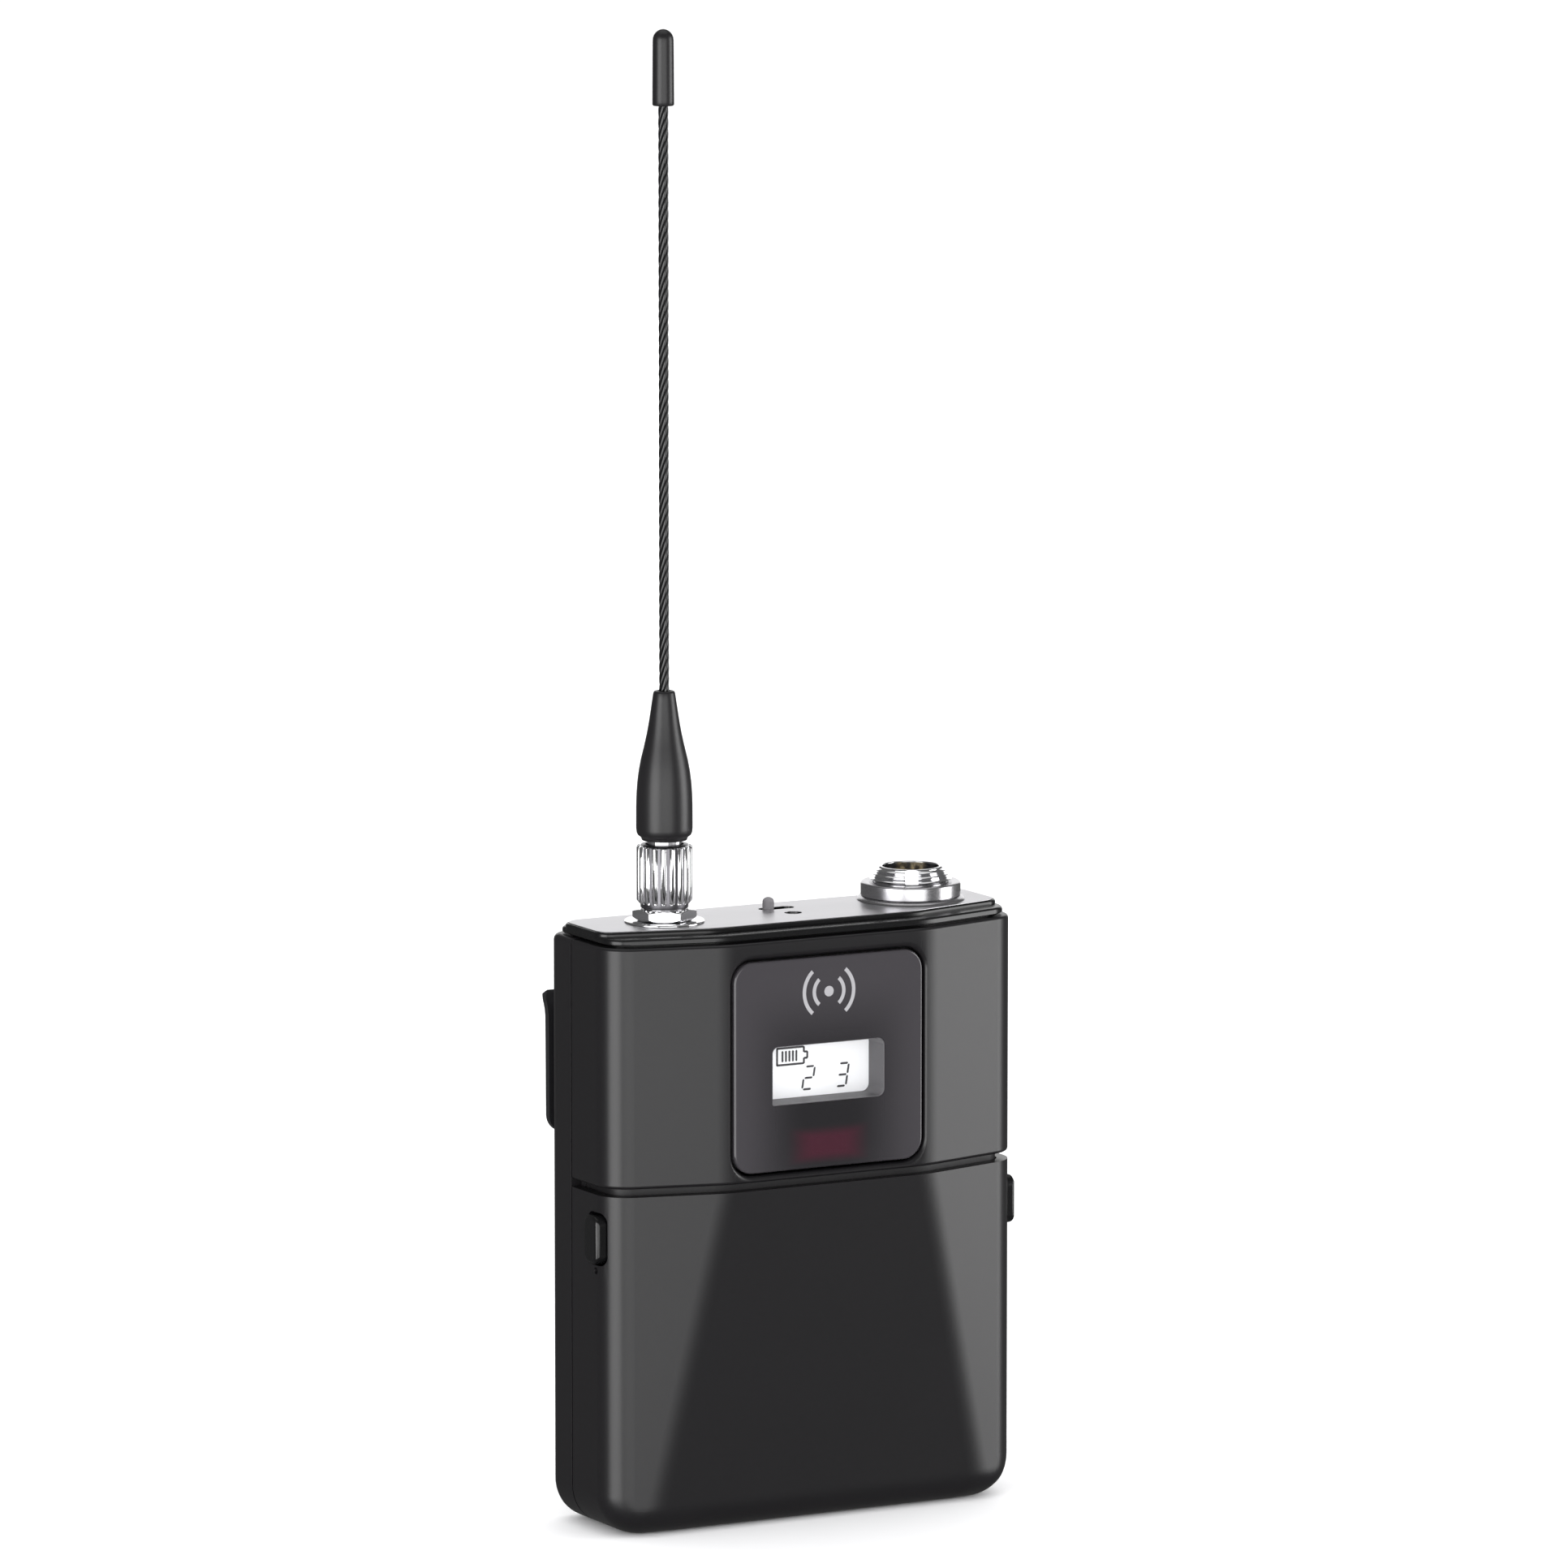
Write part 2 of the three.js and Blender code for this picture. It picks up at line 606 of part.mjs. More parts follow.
class CoilPath extends THREE.Curve {
  constructor(radius, tipRadius, length, turns) {
    super();
    Object.assign(this, { radius, tipRadius, length, turns });
  }

  getPoint(t, target = new THREE.Vector3()) {
    const r = THREE.MathUtils.lerp(this.radius, this.tipRadius, t);
    const angle = t * this.turns * 2 * Math.PI;
    return target.set(r * Math.cos(angle), r * Math.sin(angle), t * this.length);
  }
}

function makeContactSpring(z, sign) {
  const wire = new THREE.Shape(circleLoop(0, 0, 0.35, 6));
  const path = new CoilPath(5, 2.4, 2.6, 3);
  const geometry = new THREE.ExtrudeGeometry(wire, { steps: 42, bevelEnabled: false, extrudePath: path });
  geometry.rotateY(Math.PI / 2);
  geometry.translate(-27.0, CELL_Y, z);
  if (sign < 0) {
    geometry.translate(0, -CELL_Y, 0);
    geometry.rotateZ(Math.PI);
    geometry.translate(0, CELL_Y, 0);
  }
  return toSolid(geometry);
}

function makeContactPlate(z, sign) {
  const xs = [sign * 27.3, sign * 27.8].sort((a, b) => a - b);
  return block(xs[0], xs[1], CELL_Y - 4.5, CELL_Y + 4.5, z - 5, z + 5);
}

// ---- Antenna ----

function makeJack() {
  return turnedAt(ANTENNA, [
    [0, 79.6],
    [4.4, 79.6],
    [4.4, 83.6],
    [JACK_R, 83.6],
    [JACK_R, JACK_TOP_Z - 0.3],
    [JACK_R - 0.3, JACK_TOP_Z],
    [1.1, JACK_TOP_Z],
    [1.1, 84],
    [0, 84],
  ]);
}

function makeJackWasher() {
  return turnedAt(ANTENNA, [
    [JACK_R + 0.15, PLATE_TOP_Z + TOUCH],
    [5.7, PLATE_TOP_Z + TOUCH],
    [5.6, HEX_Z[0] - TOUCH],
    [JACK_R + 0.15, HEX_Z[0] - TOUCH],
    [JACK_R + 0.15, PLATE_TOP_Z + TOUCH],
  ], 32);
}

// Turns a solid about an upright axis through a place, in degrees.
function turnedAbout(solid, place, degrees) {
  return solid.translate([-place.x, -place.y, 0]).rotate([0, 0, degrees]).translate([place.x, place.y, 0]);
}

function makeHexNut() {
  const prism = cylinderZ(ANTENNA.x, ANTENNA.y, HEX_CORNER_R, HEX_Z[0], HEX_Z[1], 6);
  const hex = turnedAbout(prism, ANTENNA, HEX_TURN);
  const round = turnedAt(ANTENNA, [
    [0, HEX_Z[0]],
    [HEX_CORNER_R - 0.6, HEX_Z[0]],
    [HEX_CORNER_R, HEX_Z[0] + 0.35],
    [HEX_CORNER_R, HEX_Z[1] - 0.35],
    [HEX_CORNER_R - 0.6, HEX_Z[1]],
    [0, HEX_Z[1]],
  ], 24);
  const bore = cylinderZ(ANTENNA.x, ANTENNA.y, JACK_R + 0.15, HEX_Z[0] - 1, HEX_Z[1] + 1);
  return hex.intersect(round).subtract(bore);
}

function flutedLoop(outerR, innerR, flutes) {
  const points = [];
  for (let i = 0; i < flutes; i += 1) {
    for (const [share, radius] of [[0, innerR], [0.2, outerR], [0.65, outerR], [0.85, innerR]]) {
      const angle = (2 * Math.PI * (i + share)) / flutes;
      points.push(new THREE.Vector2(radius * Math.cos(angle), radius * Math.sin(angle)));
    }
  }
  return points;
}

function makeCouplingNut() {
  const body = prismZ(flutedLoop(NUT_R, NUT_R - 0.35, NUT_FLUTES), NUT_Z[0], NUT_Z[1])
    .translate([ANTENNA.x, ANTENNA.y, 0]);
  const envelope = turnedAt(ANTENNA, [
    [0, NUT_Z[0]],
    [3.4, NUT_Z[0]],
    [3.4, NUT_Z[0] + 0.25],
    [NUT_R + 0.1, NUT_Z[0] + 0.95],
    [NUT_R + 0.1, NUT_Z[1] - 0.2],
    [NUT_R - 0.3, NUT_Z[1]],
    [0, NUT_Z[1]],
  ], 36);
  const bore = cylinderZ(ANTENNA.x, ANTENNA.y, JACK_R + GAP, NUT_Z[0] - 1, NUT_Z[1] - 1.6);
  const throat = cylinderZ(ANTENNA.x, ANTENNA.y, 2.75, NUT_Z[0], NUT_Z[1] + 1);
  return body.intersect(envelope).subtract(bore).subtract(throat);
}

function makeFerrule() {
  return turnedAt(ANTENNA, [
    [0, 86.5],
    [0.45, 86.9],
    [0.45, 91.4],
    [2.9, 91.4],
    [2.9, NUT_Z[1] - 1.9],
    [2.45, NUT_Z[1] - 1.9],
    [2.45, 103],
    [0, 103],
  ], 24);
}

function makeBoot() {
  const [z0, z1] = BOOT_Z;
  return turnedAt(ANTENNA, [
    [2.75, z0],
    [3.25, z0],
    [3.35, z0 + 0.5],
    [3.85, z0 + 0.9],
    [4.0, z0 + 1.6],
    [4.0, z0 + 4.8],
    [3.85, z0 + 8.2],
    [3.3, z0 + 11.6],
    [2.4, z0 + 15.2],
    [1.95, z0 + 18.6],
    [1.55, z1 - 0.3],
    [1.45, z1],
    [0.95, z1],
    [0.95, 104],
    [2.75, 103.3],
    [2.75, z0],
  ], 32);
}

function makeWhip() {
  return cylinderZ(ANTENNA.x, ANTENNA.y, WHIP_R, WHIP_Z[0], WHIP_Z[1], 12);
}

function makeTipCap() {
  const [z0, z1] = TIP_Z;
  return turnedAt(ANTENNA, [
    [WHIP_R + 0.15, z0],
    [TIP_R, z0],
    [TIP_R, z1 - 1.5],
    [TIP_R * 0.87, z1 - 0.75],
    [TIP_R * 0.5, z1 - 0.2],
    [0, z1],
    [0, WHIP_Z[1] + 0.3],
    [WHIP_R + 0.15, WHIP_Z[1] + 0.3],
    [WHIP_R + 0.15, z0],
  ], 20);
}

// ---- Microphone input ----

function makeInputBarrel() {
  const top = INPUT_TOP_Z;
  const barrel = turnedAt(INPUT, [
    [INPUT_BORE_R, 78],
    [5.3, 78],
    [5.3, RING_Z[1] + 0.15],
    [5.9, RING_Z[1] + 0.35],
    [5.4, RING_Z[1] + 0.7],
    [5.1, RING_Z[1] + 0.8],
    [5.55, RING_Z[1] + 1.05],
    [5.0, RING_Z[1] + 1.35],
    [4.75, RING_Z[1] + 1.45],
    [5.2, RING_Z[1] + 1.7],
    [4.6, top - 0.15],
    [4.45, top],
    [4.15, top],
    [INPUT_BORE_R, top - 0.2],
    [INPUT_BORE_R, 78],
  ], 32);
  const cut = block(INPUT.x - 0.9, INPUT.x + 0.9, INPUT.y - 7, INPUT.y - 3, RING_Z[1] + 0.25, top + 1);
  const keyway = turnedAbout(cut, INPUT, KEYWAY_TURN);
  return barrel.subtract(keyway);
}

function makeRingNut() {
  return turnedAt(INPUT, [
    [5.45, RING_Z[0]],
    [7.15, RING_Z[0]],
    [7.15, RING_Z[1] - 0.3],
    [6.85, RING_Z[1]],
    [5.45, RING_Z[1]],
    [5.45, RING_Z[0]],
  ], 36);
}

function makeInputWasher() {
  return turnedAt(INPUT, [
    [5.45, PLATE_TOP_Z + TOUCH],
    [7.75, PLATE_TOP_Z + TOUCH],
    [7.3, RING_Z[0] - TOUCH],
    [5.45, RING_Z[0] - TOUCH],
    [5.45, PLATE_TOP_Z + TOUCH],
  ], 36);
}

function inputPinPlaces() {
  return [45, 135, 225, 315].map((degrees) => {
    const angle = THREE.MathUtils.degToRad(degrees);
    return [INPUT.x + PIN_CIRCLE_R * Math.cos(angle), INPUT.y + PIN_CIRCLE_R * Math.sin(angle)];
  });
}

function makeInputInsulator() {
  let disc = cylinderZ(INPUT.x, INPUT.y, INPUT_BORE_R - 0.1, 79, 85.2, 28);
  for (const [x, y] of inputPinPlaces()) {
    disc = disc.subtract(cylinderZ(x, y, 0.6, 78, 90, 10));
  }
  return disc;
}

function makeInputPin([x, y]) {
  return turnedAt({ x, y }, [[0, 76.5], [0.45, 76.5], [0.45, 89.2], [0.2, 89.7], [0, 89.7]], 10);
}

// ---- Belt clip ----

const CLIP_SCREW_Z = 20;

function makeClipRoot() {
  const y0 = REAR_Y + TOUCH;
  const loop = rectangleLoop(-CLIP_STEM_HALF_W, CLIP_STEM_HALF_W, 12, CLIP_HINGE.z - 0.3, 2);
  let plate = prismY(loop, y0, y0 + CLIP_T);
  for (const x of clipScrewPlaces()) {
    plate = plate.subtract(cylinderY(x, CLIP_SCREW_Z, 1.3, y0 - 1, y0 + 3));
  }
  return plate;
}

function makeClipArm() {
  const { y, z } = CLIP_HINGE;
  const t = CLIP_T / 2;
  const side = prismX([
    new THREE.Vector2(y - t, z),
    new THREE.Vector2(y + t, z),
    new THREE.Vector2(15.75, 56.4),
    new THREE.Vector2(15.9, 72),
    new THREE.Vector2(17.3, 74.6),
    new THREE.Vector2(16.9, 75.2),
    new THREE.Vector2(16.3, 75),
    new THREE.Vector2(14.9, 72.3),
    new THREE.Vector2(14.75, 56.6),
  ], -CLIP_HEAD_HALF_W, CLIP_HEAD_HALF_W);
  const outline = roundedLoop([
    [-CLIP_STEM_HALF_W, z - 1, 0],
    [CLIP_STEM_HALF_W, z - 1, 0],
    [CLIP_STEM_HALF_W + 2, 54.8, 3],
    [CLIP_HEAD_HALF_W, 54.8, 1.5],
    [CLIP_HEAD_HALF_W, 76, 1.5],
    [-CLIP_HEAD_HALF_W, 76, 1.5],
    [-CLIP_HEAD_HALF_W, 54.8, 1.5],
    [-CLIP_STEM_HALF_W - 2, 54.8, 3],
  ]);
  return side.intersect(prismY(outline, REAR_Y, 20));
}

function makeClipScrew(x) {
  const y = REAR_Y + CLIP_T + 2 * TOUCH;
  const head = cylinderY(x, CLIP_SCREW_Z, 2.3, y, y + 1.1);
  const shank = cylinderY(x, CLIP_SCREW_Z, 1.0, TRAY_Y[1] + 0.1, y + 0.2, 12);
  return head.add(shank).subtract(crossRecess(x, CLIP_SCREW_Z, y + 0.5, y + 2));
}

function makeBackLabel() {
  return prismY(rectangleLoop(-19, 19, 57, 74, 1.5), REAR_Y + TOUCH, REAR_Y + 0.3);
}

// ---- Assembly ----

const group = new THREE.Group();

function addPart(name, solid, finish) {
  const mesh = new THREE.Mesh(toGeometry(solid), new THREE.MeshStandardMaterial(FINISHES[finish]));
  mesh.name = name;
  group.add(mesh);
}

addPart('rear_shell', makeRearShell(), 'coatedMetal');
addPart('front_cover', makeFrontCover(), 'coatedMetal');
addPart('top_cap', makeTopCap(), 'blackPlastic');
addPart('top_plate', makeTopPlate(), 'satinPlate');
addPart('battery_door', makeBatteryDoor(), 'coatedMetal');
addPart('door_hinge_pin', makeHingePin(), 'steel');
addPart('display_window', makeDisplayWindow(), 'smokedPanel');
addPart('display_pane', makeDisplayPane(), 'clearPane');
addPart('display_module', makeDisplayModule(), 'displayGlass');
addPart('display_carrier', makeDisplayCarrier(), 'greyPlastic');
addPart('ir_lens', makeIrLens(), 'darkRed');
addPart('latch_left', makeLatch(-1), 'blackPlastic');
addPart('latch_right', makeLatch(1), 'blackPlastic');
addPart('menu_button', makeButton(-8), 'greyPlastic');
addPart('enter_button', makeButton(8), 'greyPlastic');
addPart('button_board', makeButtonBoard(), 'boardGreen');
addPart('switch_knob', makeSwitchKnob(), 'greyPlastic');
addPart('switch_body', makeSwitchBody(), 'blackPlastic');
addPart('power_light', makePowerLight(), 'clearPane');
addPart('main_board', makeMainBoard(), 'boardGreen');
addPart('shield_can', makeShieldCan(), 'steel');
addPart('signal_chip', makeSignalChip(), 'blackPlastic');
addPart('battery_tray', makeBatteryTray(), 'blackPlastic');
addPart('cell_lower', makeCell(CELL_Z[0], 1), 'cellSleeve');
addPart('cell_upper', makeCell(CELL_Z[1], -1), 'cellSleeve');
addPart('contact_spring_lower', makeContactSpring(CELL_Z[0], 1), 'steel');
addPart('contact_spring_upper', makeContactSpring(CELL_Z[1], -1), 'steel');
addPart('contact_plate_lower', makeContactPlate(CELL_Z[0], 1), 'steel');
addPart('contact_plate_upper', makeContactPlate(CELL_Z[1], -1), 'steel');
addPart('antenna_jack', makeJack(), 'brass');
addPart('antenna_washer', makeJackWasher(), 'chrome');
addPart('antenna_hex_nut', makeHexNut(), 'chrome');
addPart('coupling_nut', makeCouplingNut(), 'chrome');
addPart('antenna_ferrule', makeFerrule(), 'brass');
addPart('antenna_boot', makeBoot(), 'rubber');
addPart('antenna_whip', makeWhip(), 'rubber');
addPart('antenna_tip', makeTipCap(), 'rubber');
addPart('input_barrel', makeInputBarrel(), 'chrome');
addPart('input_ring_nut', makeRingNut(), 'satinNickel');
addPart('input_washer', makeInputWasher(), 'satinNickel');
addPart('input_insulator', makeInputInsulator(), 'blackPlastic');
inputPinPlaces().forEach((place, i) => addPart(`input_pin_${i + 1}`, makeInputPin(place), 'brass'));
addPart('clip_root', makeClipRoot(), 'springSteel');
addPart('clip_arm', makeClipArm(), 'springSteel');
clipScrewPlaces().forEach((x, i) => addPart(`clip_screw_${i + 1}`, makeClipScrew(x), 'steel'));
caseScrewPlaces().forEach((place, i) => addPart(`case_screw_${i + 1}`, makeCaseScrew(place), 'steel'));
addPart('back_label', makeBackLabel(), 'satinPlate');

export default group;
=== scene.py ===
"""Wireless bodypack transmitter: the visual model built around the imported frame.

Every length in the classes is in millimetres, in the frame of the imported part:
+Z up, the front looks along -Y.
"""
import json
import logging
import math
from dataclasses import dataclass, field
from enum import Enum
from typing import Callable, Iterable, Sequence

import bmesh
import bpy
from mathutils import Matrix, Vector


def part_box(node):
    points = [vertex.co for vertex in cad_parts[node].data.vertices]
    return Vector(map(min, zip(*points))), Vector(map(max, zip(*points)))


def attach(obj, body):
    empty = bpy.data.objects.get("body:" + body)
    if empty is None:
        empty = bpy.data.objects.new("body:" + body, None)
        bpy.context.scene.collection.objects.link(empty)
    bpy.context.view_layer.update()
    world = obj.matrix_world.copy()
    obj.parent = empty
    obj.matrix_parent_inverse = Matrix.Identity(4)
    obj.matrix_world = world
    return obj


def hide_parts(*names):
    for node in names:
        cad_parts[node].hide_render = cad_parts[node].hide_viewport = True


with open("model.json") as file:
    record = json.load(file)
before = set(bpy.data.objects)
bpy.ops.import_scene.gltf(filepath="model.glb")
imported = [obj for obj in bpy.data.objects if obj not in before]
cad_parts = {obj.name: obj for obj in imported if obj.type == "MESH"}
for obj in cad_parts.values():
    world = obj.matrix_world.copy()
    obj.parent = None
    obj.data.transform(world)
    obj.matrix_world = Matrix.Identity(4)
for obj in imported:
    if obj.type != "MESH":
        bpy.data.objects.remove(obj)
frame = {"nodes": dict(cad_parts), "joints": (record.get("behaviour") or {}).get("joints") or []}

LOG = logging.getLogger("bodypack")
MM = 0.001
# How far the hex nut's corners and the input's milled flat stand turned about Z, in degrees.
FITTING_TURN = -27.4
# Clearance between a moving piece and the case around it.
CLEARANCE = 0.3
# Radius of the door's hinge barrels and of the lug between them.
BARREL_R = 1.9
# Edges sharper than this many degrees stay sharp in the shading.
SHARP_DEGREES = 50

Point2 = tuple[float, float]
Point3 = tuple[float, float, float]
Loop = list[Point2]
Piece = bpy.types.Object
Tree = bpy.types.NodeTree
Node = bpy.types.Node
Socket = bpy.types.NodeSocket


class Axis(Enum):
    """The direction that a prism or a turned shape runs along."""

    X = 0
    Y = 1
    Z = 2

    def place(self, a: float, b: float, along: float) -> Point3:
        """Returns the point whose in-plane coordinates are a and b, at this distance along the axis."""
        return {Axis.X: (along, a, b), Axis.Y: (a, along, b), Axis.Z: (a, b, along)}[self]


class Grain(Enum):
    """How a surface was worked, which sets how its fine pattern is stretched along X, Y and Z."""

    EVEN = (1.0, 1.0, 1.0)
    BRUSHED_X = (0.03, 1.0, 1.0)
    TURNED_Z = (1.0, 1.0, 14.0)


# ---------------------------------------------------------------- colours and nodes


def srgb(code: str) -> tuple[float, float, float, float]:
    """Turns an sRGB hex code into a linear colour.

    Args:
        code: six hex digits.

    Returns:
        Linear red, green, blue and an alpha of 1.
    """
    parts = [int(code[i : i + 2], 16) / 255 for i in (0, 2, 4)]
    linear = [c / 12.92 if c <= 0.04045 else ((c + 0.055) / 1.055) ** 2.4 for c in parts]
    return (linear[0], linear[1], linear[2], 1.0)


def shade(code: str, factor: float) -> tuple[float, float, float, float]:
    """Returns the linear colour of a hex code, lightened or darkened by a factor."""
    r, g, b, _ = srgb(code)
    return (min(1.0, r * factor), min(1.0, g * factor), min(1.0, b * factor), 1.0)


def put(
    tree: Tree, kind: str, values: dict | None = None, links: dict | None = None, **settings: object
) -> Node:
    """Adds one node with its settings, its input values and its incoming links.

    Args:
        tree: the node tree that takes the node.
        kind: the node's type name.
        values: input name or number to a constant.
        links: input name or number to an output socket.
        settings: properties of the node itself.

    Returns:
        The new node.
    """
    node = tree.nodes.new(kind)
    for key, value in settings.items():
        setattr(node, key, value)
    for key, value in (values or {}).items():
        node.inputs[key].default_value = value
    for key, socket in (links or {}).items():
        tree.links.new(socket, node.inputs[key])
    return node


# ---------------------------------------------------------------- finishes


@dataclass(frozen=True)
class Finish:
    """One surface finish: a base colour, its gloss, and the fine pattern that the way it was made leaves."""

    name: str
    colour: str
    roughness: float
    metallic: float = 0.0
    ior: float = 1.5
    grain_mm: float = 0.25
    grain_depth_mm: float = 0.004
    grain: Grain = Grain.EVEN
    mottle: float = 0.08
    gloss_spread: float = 0.05
    coat: float = 0.0
    coat_roughness: float = 0.1
    glow: float = 0.0

    def coordinates(self, tree: Tree) -> Socket:
        """Returns Object coordinates, stretched the way the surface was worked.

        Args:
            tree: Node tree that is being wired.

        Returns:
            The stretched coordinates.
        """
        place = put(tree, "ShaderNodeTexCoord")
        mapping = put(
            tree, "ShaderNodeMapping", {"Scale": self.grain.value}, {"Vector": place.outputs["Object"]}
        )
        return mapping.outputs["Vector"]

    def colour_socket(self, tree: Tree, where: Socket, fine: Socket) -> Socket:
        """Returns the base colour, which drifts a little about the finish's own colour.

        Args:
            tree: Node tree that is being wired.
            where: Coordinates of the finish.
            fine: Fine grain of the finish.

        Returns:
            The colour.
        """
        broad = put(tree, "ShaderNodeTexNoise", {"Scale": 90.0, "Detail": 2.0}, {"Vector": where})
        both = put(
            tree, "ShaderNodeMix", {"Factor": 0.5}, {"A": broad.outputs["Fac"], "B": fine}, data_type="FLOAT"
        )
        ramp = put(tree, "ShaderNodeValToRGB", links={"Fac": both.outputs["Result"]})
        ramp.color_ramp.elements[0].position = 0.3
        ramp.color_ramp.elements[1].position = 0.7
        ramp.color_ramp.elements[0].color = shade(self.colour, 1 - self.mottle)
        ramp.color_ramp.elements[1].color = shade(self.colour, 1 + self.mottle)
        return ramp.outputs["Color"]

    def material(self) -> bpy.types.Material:
        """Builds the material, or returns the one already built under this name.

        Returns:
            The material.
        """
        made = bpy.data.materials.get(self.name)
        if made is not None:
            return made
        made = bpy.data.materials.new(self.name)
        made.use_nodes = True
        tree = made.node_tree
        shader = tree.nodes["Principled BSDF"]
        where = self.coordinates(tree)
        fine = put(
            tree, "ShaderNodeTexNoise", {"Scale": 1 / (self.grain_mm * MM), "Detail": 3.0, "Roughness": 0.6},
            {"Vector": where},
        )
        gloss = put(
            tree, "ShaderNodeMapRange",
            {
                "To Min": max(0.02, self.roughness - self.gloss_spread),
                "To Max": self.roughness + self.gloss_spread,
            },
            {"Value": fine.outputs["Fac"]},
        )
        relief = put(
            tree, "ShaderNodeBump", {"Strength": 0.6, "Distance": self.grain_depth_mm * MM},
            {"Height": fine.outputs["Fac"]},
        )
        shader.inputs["Metallic"].default_value = self.metallic
        shader.inputs["IOR"].default_value = self.ior
        shader.inputs["Coat Weight"].default_value = self.coat
        shader.inputs["Coat Roughness"].default_value = self.coat_roughness
        tree.links.new(self.colour_socket(tree, where, fine.outputs["Fac"]), shader.inputs["Base Color"])
        tree.links.new(gloss.outputs["Result"], shader.inputs["Roughness"])
        tree.links.new(relief.outputs["Normal"], shader.inputs["Normal"])
        if self.glow:
            shader.inputs["Emission Color"].default_value = srgb(self.colour)
            shader.inputs["Emission Strength"].default_value = self.glow
        return made


@dataclass(frozen=True)
class SmokedFinish(Finish):
    """A back-printed smoked window: darker in the middle, with a soft red patch over the infrared port."""

    middle: str = "19181a"
    centre: Point2 = (0.0, 59.5)
    half: Point2 = (15.0, 19.5)
    patch: str = "331620"
    patch_centre: Point2 = (0.0, 54.7)
    patch_half: Point2 = (4.9, 2.0)

    def offset(self, tree: Tree, centre: Point2, half: Point2) -> Node:
        """Returns the distances from a centre along X and Z, as shares of two half sizes.

        Args:
            tree: Node tree that is being wired.
            centre: Centre of the shape.
            half: Half sizes along X and Z.

        Returns:
            The node with both distances.
        """
        place = put(tree, "ShaderNodeTexCoord")
        moved = put(
            tree, "ShaderNodeMapping",
            {"Location": (centre[0] * MM, 0.0, centre[1] * MM), "Scale": (half[0] * MM, 1.0, half[1] * MM)},
            {"Vector": place.outputs["Object"]}, vector_type="TEXTURE",
        )
        return put(tree, "ShaderNodeSeparateXYZ", links={"Vector": moved.outputs["Vector"]})

    def reach(self, tree: Tree, centre: Point2, half: Point2, blend: float) -> Socket:
        """Returns 0 at the centre, rising to 1 at the edge of a rounded rectangle.

        Args:
            tree: Node tree that is being wired.
            centre: Centre of the shape.
            half: Half sizes along X and Z.
            blend: How softly the edge blends.

        Returns:
            The rising value.
        """
        split = self.offset(tree, centre, half)
        across = put(tree, "ShaderNodeMath", links={0: split.outputs["X"]}, operation="ABSOLUTE")
        up = put(tree, "ShaderNodeMath", links={0: split.outputs["Z"]}, operation="ABSOLUTE")
        furthest = put(
            tree, "ShaderNodeMath", {2: blend}, {0: across.outputs["Value"], 1: up.outputs["Value"]},
            operation="SMOOTH_MAX",
        )
        return furthest.outputs["Value"]

    def colour_socket(self, tree: Tree, where: Socket, fine: Socket) -> Socket:
        """Returns the window's colour, from its middle to its border, with the patch over it.

        Args:
            tree: Node tree that is being wired.
            where: Coordinates of the finish; not used.
            fine: Fine grain of the finish; not used.

        Returns:
            The colour.
        """
        shaded = put(tree, "ShaderNodeValToRGB", links={"Fac": self.reach(tree, self.centre, self.half, 0.5)})
        shaded.color_ramp.interpolation = "EASE"
        shaded.color_ramp.elements[0].position = 0.25
        shaded.color_ramp.elements[0].color = srgb(self.middle)
        shaded.color_ramp.elements[1].color = srgb(self.colour)
        inside = put(
            tree, "ShaderNodeMapRange", {"From Min": 0.5, "From Max": 1.45, "To Min": 1.0, "To Max": 0.0},
            {"Value": self.reach(tree, self.patch_centre, self.patch_half, 0.3)},
            interpolation_type="SMOOTHSTEP",
        )
        mix = put(
            tree, "ShaderNodeMix", {"B": srgb(self.patch)},
            {"Factor": inside.outputs["Result"], "A": shaded.outputs["Color"]}, data_type="RGBA",
        )
        return mix.outputs["Result"]


@dataclass(frozen=True)
class BandedFinish(Finish):
    """A printed sleeve: one colour along most of its length and another at one end."""

    second: str = "c9a24a"
    split_at_mm: float = 0.0
    turned: bool = False

    def colour_socket(self, tree: Tree, where: Socket, fine: Socket) -> Socket:
        """Returns the sleeve's two colours, which meet at one place along X.

        Args:
            tree: Node tree that is being wired.
            where: Coordinates of the finish; not used.
            fine: Fine grain of the finish; not used.

        Returns:
            The colour.
        """
        place = put(tree, "ShaderNodeTexCoord")
        split = put(tree, "ShaderNodeSeparateXYZ", links={"Vector": place.outputs["Object"]})
        side = put(
            tree, "ShaderNodeMath", {1: self.split_at_mm * MM}, {0: split.outputs["X"]},
            operation="LESS_THAN" if self.turned else "GREATER_THAN",
        )
        mix = put(
            tree, "ShaderNodeMix", {"A": srgb(self.colour), "B": srgb(self.second)},
            {"Factor": side.outputs["Value"]}, data_type="RGBA",
        )
        return mix.outputs["Result"]


@dataclass(frozen=True)
class BoardFinish(Finish):
    """A circuit board under green solder mask, with copper tracks showing through as lighter lines."""

    track_mm: float = 1.6

    def colour_socket(self, tree: Tree, where: Socket, fine: Socket) -> Socket:
        """Returns the mask's colour crossed by lighter track lines.

        Args:
            tree: Node tree that is being wired.
            where: Coordinates of the finish.
            fine: Fine grain of the finish; not used.

        Returns:
            The colour.
        """
        cells = put(
            tree, "ShaderNodeTexVoronoi", {"Scale": 1 / (self.track_mm * MM), "Randomness": 0.85},
            {"Vector": where}, feature="DISTANCE_TO_EDGE", distance="EUCLIDEAN",
        )
        ramp = put(tree, "ShaderNodeValToRGB", links={"Fac": cells.outputs["Distance"]})
        ramp.color_ramp.elements[0].position = 0.04
        ramp.color_ramp.elements[1].position = 0.08
        ramp.color_ramp.elements[0].color = shade(self.colour, 2.2)
        ramp.color_ramp.elements[1].color = srgb(self.colour)
        return ramp.outputs["Color"]


